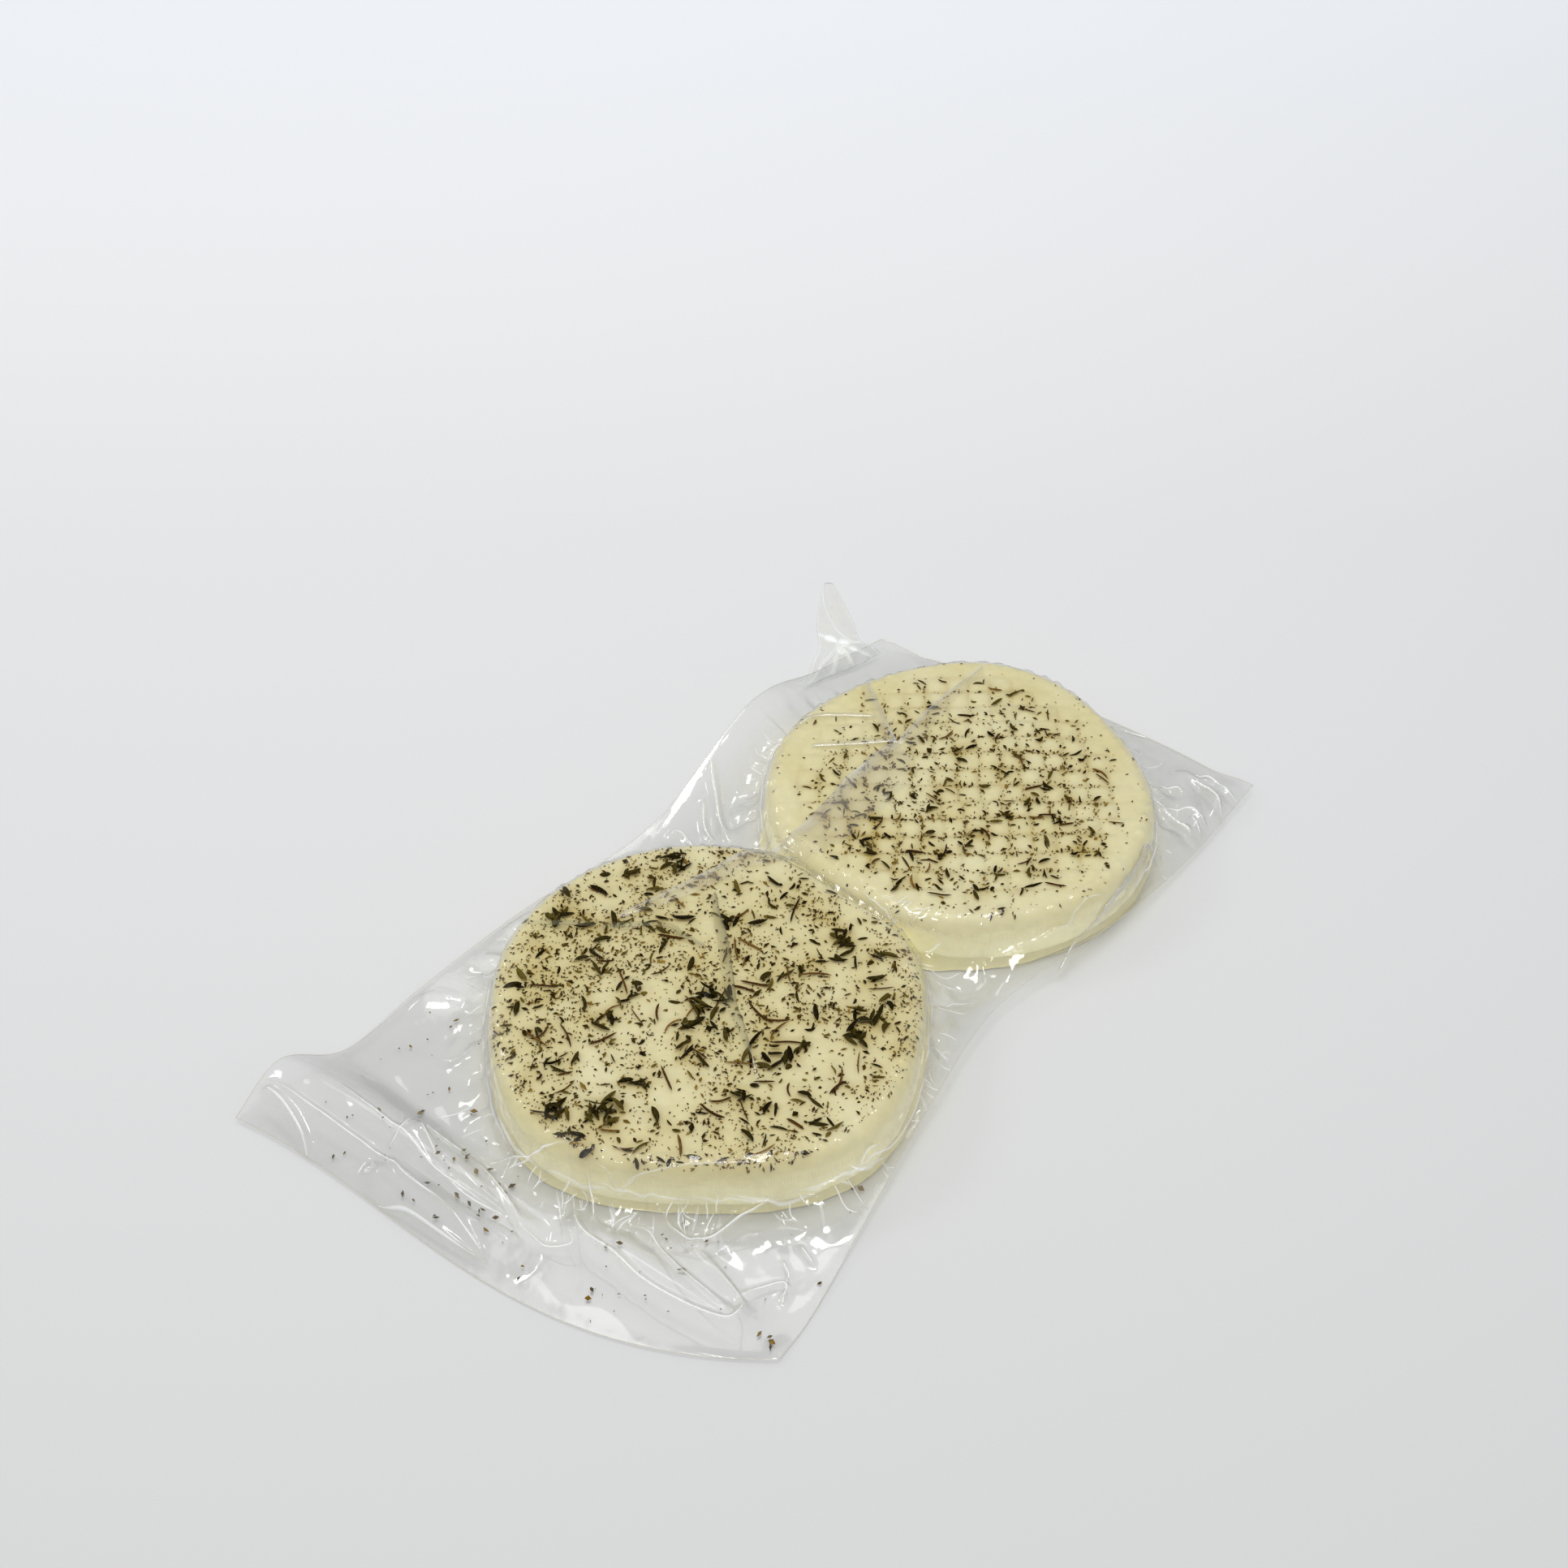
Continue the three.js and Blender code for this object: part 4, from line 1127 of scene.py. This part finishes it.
def glint_ribbon(points, half, film):
    """A narrow ribbon that carries a painted highlight along a crease, laid on the film as far as that
    reaches, and the strength of that highlight; or None.
    """
    points = np.asarray(points, float)
    done = np.concatenate([[0], np.cumsum(np.hypot(*np.diff(points, axis=0).T))])
    share = np.linspace(0, 1, max(int(done[-1] / RIBBON_STEP), 8))
    middle = np.column_stack([np.interp(share * done[-1], done, points[:, k]) for k in range(2)])
    run = np.gradient(middle, axis=0)
    run /= np.hypot(*run.T)[:, None]
    ends = 0.1 + 0.9 * smoothstep(np.minimum(share, 1 - share), 0, 0.3)[:, None]
    off = np.array([-1, -0.5, 0, 0.5, 1]) * half * ends
    x, y = middle[:, :1] - off * run[:, 1:], middle[:, 1:] + off * run[:, :1]
    hits = [film.ray_cast(Vector((a, b, 60)), Vector((0, 0, -1)))[0] for a, b in zip(x.ravel(), y.ravel())]
    z = np.array([hit[2] if hit else np.nan for hit in hits]).reshape(x.shape)
    on_film = ~np.isnan(z).any(1)
    if on_film.sum() < 5:
        return None
    x, y, z, ends = x[on_film], y[on_film], z[on_film], ends[on_film]
    z[1:-1] = (z[:-2] + z[1:-1] + z[2:]) / 3
    return np.stack([x, y, z + RIBBON_RISE], -1), ends * RIBBON_PAINTED_GLINT


def pleat_grid(points, widths, side):
    """A fold of film laid flat on the film below: a rounded lip along its edge, then the doubled film.

    It also gives the share of the doubled film's width at each point: 0 on the lip, 1 where it ends.
    """
    points = np.asarray(points, float)
    rows = 14 * (len(points) - 1) + 1
    share = np.linspace(0, 1, rows)
    edge = spline(points, share)
    wide = spline(np.asarray(widths, float)[:, None], share)
    wide = wide * (1 + 0.25 * (noise(share * 40, 0 * share, *LAYERS["pleat width"]) - 0.5))[:, None]
    run = np.gradient(edge, axis=0)
    run /= np.hypot(run[:, 0], run[:, 1])[:, None]
    lip_in, lip_up = np.array(PLEAT_LIP).T
    behind = np.linspace(0, 1, PLEAT_COLUMNS - len(PLEAT_LIP) + 1)[None, 1:]
    ends = smoothstep(np.minimum(share, 1 - share), 0, 0.04)[:, None]
    reach = np.hstack([lip_in * ends, lip_in[-1] * ends + (wide - lip_in[-1]) * behind])
    rise = np.hstack([lip_up + 0 * ends, lip_up[-1] - 0.4 * behind**2 + 0 * ends])
    x = edge[:, :1] - side * reach * run[:, 1:]
    y = edge[:, 1:] + side * reach * run[:, :1]
    window = np.pad(film_height(x, y, np.zeros_like(x)), ((5, 5), (0, 0)), mode="edge")
    below = PLEAT_GAP + sum(window[k:k + rows] for k in range(11)) / 11
    points = np.stack([x, y, below + rise * (0.25 + 0.75 * ends)], -1)
    return points, np.hstack([np.zeros((rows, len(PLEAT_LIP))), behind + 0 * ends])


def join_grids(grids):
    """Several grids as one set of points and faces."""
    points, faces, done = [], [], 0
    for grid in grids:
        rows, columns = grid.shape[:2]
        points.append(grid.reshape(-1, 3))
        faces.append(grid_faces(rows, columns) + done)
        done += rows * columns
    return np.vstack(points), [np.vstack(faces)]


def closed_tube(path, radius, sides):
    """A tube carried along a closed path, each ring a circle across the path's direction, and its faces."""
    run = np.roll(path, -1, 0) - np.roll(path, 1, 0)
    run /= np.linalg.norm(run, axis=1)[:, None]
    side = np.cross(run, [0, 0, 1.0])
    side /= np.linalg.norm(side, axis=1)[:, None]
    up = np.cross(side, run)
    phi = np.linspace(0, 2 * math.pi, sides, endpoint=False)
    ring = np.cos(phi)[None, :, None] * side[:, None] + np.sin(phi)[None, :, None] * up[:, None]
    faces = np.vstack([ring_faces(len(path), sides), closing_faces(len(path), sides)])
    return path[:, None] + radius * ring, [faces]


def whey_ring(slab):
    """Whey round one slab's foot: thicker by noise and where the slabs meet, it falls outwards to a thin lip.

    At share t outwards its height is size (1 - t)^1.6 above the under film.
    """
    rows, columns = WHEY_GRID
    angle = np.linspace(0, 2 * math.pi, columns, endpoint=False)[None, :]
    share = np.linspace(0, 1, rows)[:, None]
    centre_x, centre_y = slab_centre(slab)
    from_meeting = slab["radius"] * (1 + slab["side"] * np.cos(angle - PAIR_TURN))
    meeting = bell(from_meeting / 14)
    size = 1.6 + 1.9 * noise(12 * np.cos(angle), 12 * np.sin(angle), *LAYERS["whey"]) + 2.6 * meeting
    inset = 0.9
    reach = rim_radius(slab, angle) - inset + (inset + size * (0.22 + 0.5 * meeting)) * share**1.2
    height = 0.45 + size * (1 - share) ** 1.6
    return np.stack([centre_x + reach * np.cos(angle), centre_y + reach * np.sin(angle), height], -1)


def put(tree, socket, value):
    """Gives a socket its value: a link where the value is a socket too, and an alpha of 1 for a colour."""
    if isinstance(value, bpy.types.NodeSocket):
        tree.links.new(value, socket)
    elif socket.type == "RGBA":
        socket.default_value = (*value[:3], 1)
    else:
        socket.default_value = value


def add_node(tree, kind, label=None, **values):
    """A shader node with its settings and its sockets given by name."""
    node = tree.nodes.new(kind)
    if label:
        node.label = label
    for key, value in values.items():
        if hasattr(node, key):
            setattr(node, key, value)
        else:
            put(tree, node.inputs[key.replace("_", " ")], value)
    return node


def maths(tree, operation, *values):
    """The outcome of a Math node."""
    node = add_node(tree, "ShaderNodeMath", operation=operation)
    for socket, value in zip(node.inputs, values):
        put(tree, socket, value)
    return node.outputs[0]


def mixed_colour(tree, share, low, high, label=None, blend="MIX"):
    """A colour between two, by a share, or both multiplied."""
    node = add_node(tree, "ShaderNodeMix", label, data_type="RGBA", blend_type=blend)
    for number, value in ((0, share), (6, low), (7, high)):
        put(tree, node.inputs[number], value)
    return node.outputs[2]


def mixed_shader(tree, share, first, second, label=None):
    """A shader between two nodes' shaders, by a share."""
    node = add_node(tree, "ShaderNodeMixShader", label)
    for number, value in enumerate((share, first.outputs[0], second.outputs[0])):
        put(tree, node.inputs[number], value)
    return node


def attribute(tree, name):
    """A number kept with each point of the mesh."""
    return add_node(tree, "ShaderNodeAttribute", attribute_name=name).outputs["Fac"]


def object_place(tree):
    """Places in the piece's own frame."""
    return add_node(tree, "ShaderNodeTexCoord").outputs["Object"]


def grain(tree, label, scale, detail, roughness=0.5):
    """Noise fixed to the piece."""
    node = add_node(tree, "ShaderNodeTexNoise", label, Vector=object_place(tree), Scale=scale, Detail=detail,
                    Roughness=roughness)
    return node.outputs[0]


def bumped(tree, label, strength, distance, height):
    """Normals turned by a bump."""
    node = add_node(tree, "ShaderNodeBump", label, Strength=strength, Distance=distance, Height=height)
    return node.outputs[0]


def ramp(tree, value, stops):
    """A colour ramp over value with stops of [place, grey or colour]."""
    node = tree.nodes.new("ShaderNodeValToRGB")
    tree.links.new(value, node.inputs[0])
    elements = node.color_ramp.elements
    while len(elements) < len(stops):
        elements.new(0.5)
    for element, (place, colour) in zip(elements, stops):
        element.position = place
        element.color = (colour, colour, colour, 1) if isinstance(colour, float) else (*colour[:3], 1)
    return node.outputs["Color"]


def new_material(name):
    """An empty node material that casts no light of its own."""
    material = bpy.data.materials.new(name)
    material.use_nodes = True
    material.cycles.emission_sampling = "NONE"
    material.node_tree.nodes.clear()
    return material, material.node_tree


def finish_material(tree, shader):
    """Joins the last node's shader to the output."""
    output = tree.nodes.new("ShaderNodeOutputMaterial")
    tree.links.new(shader.outputs[0], output.inputs["Surface"])


def cheese_material():
    """Moist pressed curd: cream with pale patches, brown where thyme has steeped, and finely grained; its
    wall has painted light.
    """
    settings = bpy.context.scene.saganaki_cheese
    material, tree = new_material("cream_cheese")
    patches = ramp(tree, grain(tree, "broad patches", 38.0, 3.0, 0.55), [[0.36, 0.0], [0.66, 1.0]])
    curd = grain(tree, "curd grain", 420.0, 3.0, 0.6)
    wall = attribute(tree, "wall")
    base = mixed_colour(tree, patches, settings.cream, settings.pale, "cream to pale")
    # the wall's paler colour, painted brighter than the top to stand in for light that passes through the
    # cheese
    base = mixed_colour(tree, wall, base, settings.wall, "towards the wall")
    base = mixed_colour(tree, attribute(tree, "stain"), base, settings.stain, "steeped by thyme")
    base = mixed_colour(tree, 1.0, base, ramp(tree, curd, [[0.3, 0.93], [0.7, 1.0]]), "grained", "MULTIPLY")
    # painted glow: a cream emission on the wall, standing in for light that passes through the cheese
    finish_material(tree, add_node(
        tree, "ShaderNodeBsdfPrincipled", Base_Color=base, Roughness=0.42,
        Normal=bumped(tree, "curd", 0.18, 0.0003, curd), Emission_Color=(1.0, 0.95, 0.68),
        Emission_Strength=maths(tree, "MULTIPLY", wall, settings.through), Subsurface_Weight=settings.glow,
        Subsurface_Radius=(1.0, 0.8, 0.45), Subsurface_Scale=0.004))
    return material


def thyme_material(name, dark, mid, light):
    """Dried herb: each flake takes its own shade from dark to light, broken by fine streaks."""
    material, tree = new_material(name)
    streaks = grain(tree, "streaks", 1500.0, 2.0, 0.6)
    shade = ramp(tree, attribute(tree, "shade"), [[0.0, dark], [0.62, mid], [1.0, light]])
    broken = ramp(tree, streaks, [[0.32, 0.55], [0.68, 1.25]])
    colour = mixed_colour(tree, 1.0, shade, broken, "streaked", "MULTIPLY")
    finish_material(tree, add_node(
        tree, "ShaderNodeBsdfPrincipled", Base_Color=colour, Roughness=0.5, Specular_IOR_Level=0.02,
        Normal=bumped(tree, "veins", 0.35, 0.0002, streaks)))
    return material


def film_material(name, cloud, tint, milk=None, painted_glow=0.0):
    """Clear film, clouded where its haze says so by a milky body that glows of itself by a painted glow; on
    the corner and the creases that haze and glow are a painted highlight.

    With f from 0, looked at square, to 1, looked along, it mirrors by mirror + 0.9 f^4, less where it is wet,
    and what shows through it darkens by 0.38 f^2.4.
    """
    settings = bpy.context.scene.saganaki_film
    material, tree = new_material(name)
    bump = bumped(tree, "ripples", settings.ripple, 0.0008, grain(tree, "ripples", 170.0, 2.0))
    facing = add_node(tree, "ShaderNodeLayerWeight", Blend=0.5, Normal=bump).outputs["Facing"]
    free = maths(tree, "MULTIPLY_ADD", maths(tree, "POWER", facing, 4.0), 0.9, settings.mirror)
    wet = attribute(tree, "wet")
    mirror = maths(tree, "MULTIPLY", free, maths(tree, "MULTIPLY_ADD", wet, settings.wet_mirror - 1, 1.0))
    grazing = maths(tree, "POWER", facing, 2.4)
    through = mixed_colour(tree, grazing, tint, [0.62 * value for value in tint], "greyer towards grazing")
    clear = add_node(tree, "ShaderNodeBsdfTransparent", Color=through)
    gloss = add_node(tree, "ShaderNodeBsdfGlossy", Color=(1, 1, 1), Roughness=settings.roughness, Normal=bump)
    bright = mixed_shader(tree, mirror, clear, gloss, "mirror")
    dry = maths(tree, "MULTIPLY_ADD", wet, -settings.cloud, settings.cloud)
    cloudy = maths(tree, "MULTIPLY_ADD", attribute(tree, "haze"), cloud, dry)
    steeped = attribute(tree, "steeped")
    body = mixed_colour(tree, steeped, milk or settings.milk, settings.steeped, "whey in a fold")
    # painted highlight: the milky body glows white of itself where it is given a painted glow
    milky = add_node(tree, "ShaderNodeBsdfPrincipled", Base_Color=body, Roughness=0.22,
                     Emission_Color=(1, 1, 1), Emission_Strength=painted_glow)
    finish_material(tree, mixed_shader(tree, cloudy, bright, milky, "haze"))
    return material


def whey_material():
    """Thin yellow whey: glossy, and partly see-through by noise."""
    settings = bpy.context.scene.saganaki_whey
    material, tree = new_material("yellow_whey")
    share = maths(tree, "MULTIPLY_ADD", grain(tree, "curd in the whey", 160.0, 3.0), 0.3, settings.density)
    clear = add_node(tree, "ShaderNodeBsdfTransparent", Color=(1, 1, 1))
    body = add_node(tree, "ShaderNodeBsdfPrincipled", Base_Color=settings.colour, Roughness=0.12)
    finish_material(tree, mixed_shader(tree, share, clear, body))
    return material


def floor_material():
    """Matt pale paper under painted light: brighter, bluer and glowing far from the camera, darker near it.
    """
    settings = bpy.context.scene.saganaki_stage
    material, tree = new_material("pale_floor")
    away = (0, 0, -math.radians(39.0))
    turned = add_node(tree, "ShaderNodeMapping", Vector=object_place(tree), Rotation=away)
    split = add_node(tree, "ShaderNodeSeparateXYZ", Vector=turned.outputs[0])
    spread = add_node(tree, "ShaderNodeMapRange", Value=split.outputs[0], From_Min=-0.165, From_Max=0.595)
    far = spread.outputs[0]
    # painted light and shade: the colour ramps from darker near the camera to brighter and bluer far from it
    stops = [[0.0, settings.near_floor_painted_shade], [0.45, settings.middle_floor], [1.0, settings.far_floor_painted_light]]
    # painted light: a bluish glow that grows away from the camera
    finish_material(tree, add_node(
        tree, "ShaderNodeBsdfPrincipled", Base_Color=ramp(tree, far, stops), Roughness=0.7,
        Emission_Color=(0.8, 0.9, 1.0), Emission_Strength=maths(tree, "MULTIPLY", far, 0.07),
        Specular_IOR_Level=0.2))
    return material


def share_setting(name, description, default):
    """A share from 0 to 1 that a user can change."""
    return FloatProperty(name=name, description=description, default=default, min=0, max=1, subtype="FACTOR")


def colour_setting(name, description, default):
    """A colour that a user can change."""
    return FloatVectorProperty(name=name, description=description, default=default, min=0, max=1, size=3,
                               subtype="COLOR")


class CheeseSettings(bpy.types.PropertyGroup):
    """The two slabs."""
    weave_depth: FloatProperty(name="Weave depth", default=0.55, min=0.0, max=1.5,
                               description="How deep the basket pressed into the far slab, in millimetres")
    cream: colour_setting("Cream", "Main colour of the cheese", (0.79, 0.705, 0.375))
    pale: colour_setting("Pale", "Its paler patches", (0.85, 0.785, 0.485))
    # painted light: the wall's colour is brighter than the top's, standing in for light through the cheese
    wall: colour_setting("Wall", "Its side wall", (0.98, 0.93, 0.58))
    stain: colour_setting("Steeped", "Cheese that thyme has stained", (0.52, 0.37, 0.07))
    # a painted glow on the side wall, standing in for light that passes through the cheese
    through: share_setting("Through the wall", "Light that reaches the side wall through the cheese", 0.13)
    glow: share_setting("Glow", "Share of light that goes through the cheese", 0.4)


class ThymeSettings(bpy.types.PropertyGroup):
    """The strewn thyme."""
    leaves: IntProperty(name="Leaves", default=210, min=0, max=2000,
                        description="Single leaves on the near slab, besides its gathered ones")
    specks: IntProperty(name="Specks", default=8600, min=0, max=20000,
                        description="Specks tried on the near slab")


class FilmSettings(bpy.types.PropertyGroup):
    """The clear film."""
    roughness: share_setting("Roughness", "Roughness of the film's gloss", 0.09)
    mirror: share_setting("Mirror", "Share that the film mirrors when looked at square", 0.06)
    wet_mirror: share_setting("Wet mirror", "Share of the mirroring left where film clings to cheese", 0.025)
    cloud: share_setting("Cloud", "Milkiness of smooth film", 0.012)
    ripple: share_setting("Ripple", "Strength of the film's fine ripples", 0.12)
    steeped: colour_setting("Steeped fold", "Colour of a fold that holds whey and herb", (0.26, 0.25, 0.15))
    milk: colour_setting("Milk", "Colour of clouded film", (0.83, 0.75, 0.57))


class WheySettings(bpy.types.PropertyGroup):
    """The whey."""
    colour: colour_setting("Whey", "Colour of the whey", (1.0, 0.93, 0.55))
    density: share_setting("Density", "How much the whey covers", 0.62)


class StageSettings(bpy.types.PropertyGroup):
    """Floor, lights and camera."""
    # Painted light on the floor: darker near the camera, brighter and bluer far from it
    near_floor_painted_shade: colour_setting("Near floor", "Floor nearest the camera", (0.715, 0.712, 0.708))
    middle_floor: colour_setting("Middle floor", "Floor round the pouch", (0.775, 0.773, 0.77))
    far_floor_painted_light: colour_setting("Far floor", "Floor far from the camera", (0.96, 0.97, 0.995))
    softbox: FloatProperty(name="Softboxes", default=2.5, min=0, subtype="POWER", unit="POWER",
                           description="Power that each softbox takes its share of")
    sky: FloatProperty(name="Surround", default=0.63, min=0,
                       description="Strength of the light from all round")


def clear_pieces(*names):
    """Removes earlier pieces, so that a button can be pressed again."""
    for name in names:
        if name in bpy.data.objects:
            bpy.data.objects.remove(bpy.data.objects[name])


class SAGANAKI_OT_cheese(bpy.types.Operator):
    """Make the two slabs of cheese"""
    bl_idname = "saganaki.cheese"
    bl_label = "Cheese slabs"

    def execute(self, context):
        clear_pieces("cheese_near", "cheese_far")
        material = cheese_material()
        for name in SLABS:
            points, faces = closed_slab(name)
            piece = link_mesh("cheese_" + name, points, faces, material, slab_shares(name, *points.T))
            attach(piece, "root")
            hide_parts("cheese_round_" + name)
        return {"FINISHED"}


class SAGANAKI_OT_thyme(bpy.types.Operator):
    """Strew the thyme's leaves, stems and specks"""
    bl_idname = "saganaki.thyme"
    bl_label = "Thyme"

    def execute(self, context):
        for kept in (thyme_plan, flake_cover, film_sheet):
            kept.cache_clear()
        for kind, (stations, sides, blunt) in FLAKE_FORMS.items():
            clear_pieces("thyme_" + kind)
            plan = thyme_plan()[kind]
            points = flake_points(plan, stations, sides, blunt)
            faces = spindle_faces(len(plan), stations, sides)
            shade = np.repeat(plan[:, 10], stations * sides)
            material = thyme_material(*THYME_COLOURS[kind])
            piece = link_mesh("thyme_" + kind, points, faces, material, {"shade": shade})
            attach(piece, "root")
        return {"FINISHED"}


class SAGANAKI_OT_whey(bpy.types.Operator):
    """Gather whey where the film leaves the slabs"""
    bl_idname = "saganaki.whey"
    bl_label = "Whey"

    def execute(self, context):
        clear_pieces("whey_pools")
        rings = np.vstack([whey_ring(slab) for slab in SLABS.values()])
        faces = ring_faces(*WHEY_GRID)
        faces = np.vstack([faces, faces + math.prod(WHEY_GRID)])
        piece = link_mesh("whey_pools", rings, [faces], whey_material())
        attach(piece, "root")
        return {"FINISHED"}


class SAGANAKI_OT_film(bpy.types.Operator):
    """Draw the pouch's upper and under films and their welded edge"""
    bl_idname = "saganaki.film"
    bl_label = "Pouch film"

    def execute(self, context):
        clear_pieces("film_upper", "film_under", "film_edge")
        clear = film_material(*FILMS["clear"])
        upper, under = film_sheet(*FILM_GRID, True), film_sheet(*UNDER_GRID, False)
        x, y = upper[..., 0], upper[..., 1]
        piece = link_mesh("film_upper", upper, [grid_faces(*FILM_GRID)], clear,
                          {"haze": film_haze(x, y), "wet": clings(x, y)})
        below = link_mesh("film_under", under, [grid_faces(*UNDER_GRID)[:, ::-1]], clear,
                          {"haze": np.zeros(math.prod(UNDER_GRID))})
        border = np.vstack([under[:, 0], under[-1, 1:], under[-2::-1, -1], under[0, -2:0:-1]])
        tube, faces = closed_tube(border, EDGE_RADIUS, EDGE_SIDES)
        edge = link_mesh("film_edge", tube, faces, clear, {"haze": np.full(len(border) * EDGE_SIDES, 0.6)})
        for one in (piece, below, edge):
            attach(one, "root")
        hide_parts("film_pouch")
        return {"FINISHED"}


def folded_pleats():
    """The pleats' mesh and its numbers, and ribbons that carry a painted highlight along their lips, with its
    brightness.
    """
    grids, hazes, steeped, ribbons, painted_glints = [], [], [], [], []
    for points, widths, side, cloud in PLEATS:
        grid, behind = pleat_grid(points, widths, side)
        if side < 0:
            grid, behind = grid[::-1], behind[::-1]
        patches = 0.3 + 1.2 * noise(grid[..., 0], grid[..., 1], *LAYERS["cloudy pleat"])
        grids.append(grid)
        hazes.append((cloud * (0.75 + 0.25 * np.cos(math.pi * behind)) * patches).ravel())
        steeped.append(np.full(behind.size, 1.0 if points in STEEPED else 0.0))
        if points not in STEEPED:
            # a ribbon on the lip carries a painted highlight, broken by noise
            lip = grid[:, 1:6] + (0, 0, 0.05)
            streaks = noise(lip[..., 0], lip[..., 1], *LAYERS["painted lip glints"])
            ribbons.append(lip)
            painted_glints.append((streaks * LIP_PAINTED_GLINT).ravel())
    steeped = np.concatenate(steeped)
    numbers = {"haze": np.concatenate(hazes), "steeped": steeped, "wet": 0.55 + 0.45 * steeped}
    return join_grids(grids), numbers, ribbons, painted_glints


class SAGANAKI_OT_folds(bpy.types.Operator):
    """Fold the film: the pleats over the slabs, the corner that stands up, and ribbons of painted highlight
    along the creases
    """
    bl_idname = "saganaki.folds"
    bl_label = "Folds"

    def execute(self, context):
        clear_pieces("film_pleats", "film_fin", "film_crease_glints")
        doubled, corner, glint_film = (film_material(*FILMS[key]) for key in ("doubled", "corner", "glint_film"))
        (points, faces), numbers, ribbons, painted_glints = folded_pleats()
        pleats = link_mesh("film_pleats", points, faces, doubled, numbers)
        rows, columns = FIN_GRID
        points, across, along = fin_grid(rows, columns)
        caps = np.array([np.arange(columns)[::-1], np.arange(columns) + (rows - 1) * columns])
        # the corner's haze holds its painted highlights
        fin = link_mesh("film_fin", points, [ring_faces(rows, columns)[:, ::-1], caps], corner,
                        {"haze": fin_painted_highlights(across, along)})
        upper = film_sheet(*FILM_GRID, True).reshape(-1, 3)
        film = BVHTree.FromPolygons(upper.tolist(), grid_faces(*FILM_GRID).tolist())
        # the creases' painted highlights lie on ribbons laid over the upper film
        for line, half, bright in crease_glint_lines():
            laid = glint_ribbon(line, half, film)
            if laid:
                ribbons.append(laid[0])
                painted_glints.append((bright * laid[1]).ravel())
        creases = link_mesh("film_crease_glints", *join_grids(ribbons), glint_film, {"haze": np.concatenate(painted_glints)})
        for one in (pleats, fin, creases):
            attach(one, "root")
        return {"FINISHED"}


class SAGANAKI_OT_stage(bpy.types.Operator):
    """Set the floor, lights and camera"""
    bl_idname = "saganaki.stage"
    bl_label = "Floor, lights and camera"

    def execute(self, context):
        settings = context.scene.saganaki_stage
        clear_pieces("pale_floor", "photo_camera", *(name for name, *_ in SOFTBOXES))
        signs = ((-1, -1), (1, -1), (1, 1), (-1, 1))
        corners = [[x * FLOOR_HALF, y * FLOOR_HALF, FLOOR_AT] for x, y in signs]
        floor = link_mesh("pale_floor", corners, [np.array([[0, 1, 2, 3]])], floor_material(), smooth=False)
        middle = Vector(to_frame((0, 0, 0)))
        for name, place, side, share in SOFTBOXES:
            lamp = bpy.data.lights.new(name, "AREA")
            lamp.shape = "SQUARE"
            lamp.size = side
            lamp.energy = settings.softbox * share
            box = bpy.data.objects.new(name, lamp)
            box.location = middle + Vector(place)
            box.rotation_euler = (middle - box.location).to_track_quat("-Z", "Y").to_euler()
            context.scene.collection.objects.link(box)
        world = bpy.data.worlds.new("studio")
        world.use_nodes = True
        background = world.node_tree.nodes["Background"]
        background.inputs["Color"].default_value = (0.97, 0.985, 1.0, 1)
        background.inputs["Strength"].default_value = settings.sky
        context.scene.world = world
        camera = bpy.data.objects.new("photo_camera", bpy.data.cameras.new("photo_camera"))
        camera.data.lens = CAMERA_LENS
        camera.data.sensor_width = SENSOR
        camera.data.clip_start = 0.01
        camera.data.clip_end = 20
        camera.location = Vector(to_frame(CAMERA_AT))
        target = Vector(to_frame(CAMERA_TARGET))
        camera.rotation_euler = (target - camera.location).to_track_quat("-Z", "Y").to_euler()
        context.scene.collection.objects.link(camera)
        context.scene.camera = camera
        context.scene.view_settings.view_transform = "Standard"
        return {"FINISHED"}


class SAGANAKI_PT_panel(bpy.types.Panel):
    """The settings and buttons, a box for each group."""
    bl_idname = "SAGANAKI_PT_panel"
    bl_label = "Saganaki"
    bl_space_type = "VIEW_3D"
    bl_region_type = "UI"
    bl_category = "Saganaki"

    def draw(self, context):
        for key, (group, operators) in SECTIONS.items():
            box = self.layout.box()
            for setting in group.__annotations__:
                box.prop(getattr(context.scene, key), setting)
            for one in operators:
                box.operator(one.bl_idname)


SECTIONS = {
    "saganaki_cheese": (CheeseSettings, [SAGANAKI_OT_cheese]),
    "saganaki_thyme": (ThymeSettings, [SAGANAKI_OT_thyme]),
    "saganaki_whey": (WheySettings, [SAGANAKI_OT_whey]),
    "saganaki_film": (FilmSettings, [SAGANAKI_OT_film, SAGANAKI_OT_folds]),
    "saganaki_stage": (StageSettings, [SAGANAKI_OT_stage]),
}
GROUPS = {key: group for key, (group, _) in SECTIONS.items()}
OPERATORS = [one for _, operators in SECTIONS.values() for one in operators]


def register():
    for one in (*GROUPS.values(), *OPERATORS, SAGANAKI_PT_panel):
        bpy.utils.register_class(one)
    for key, group in GROUPS.items():
        setattr(bpy.types.Scene, key, PointerProperty(type=group))


def unregister():
    for key in GROUPS:
        delattr(bpy.types.Scene, key)
    for one in (SAGANAKI_PT_panel, *reversed(OPERATORS), *reversed(GROUPS.values())):
        bpy.utils.unregister_class(one)


def main():
    register()
    for one in ("cheese", "thyme", "whey", "film", "folds", "stage"):
        getattr(bpy.ops.saganaki, one)()
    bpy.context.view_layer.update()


if __name__ == "__main__":
    main()
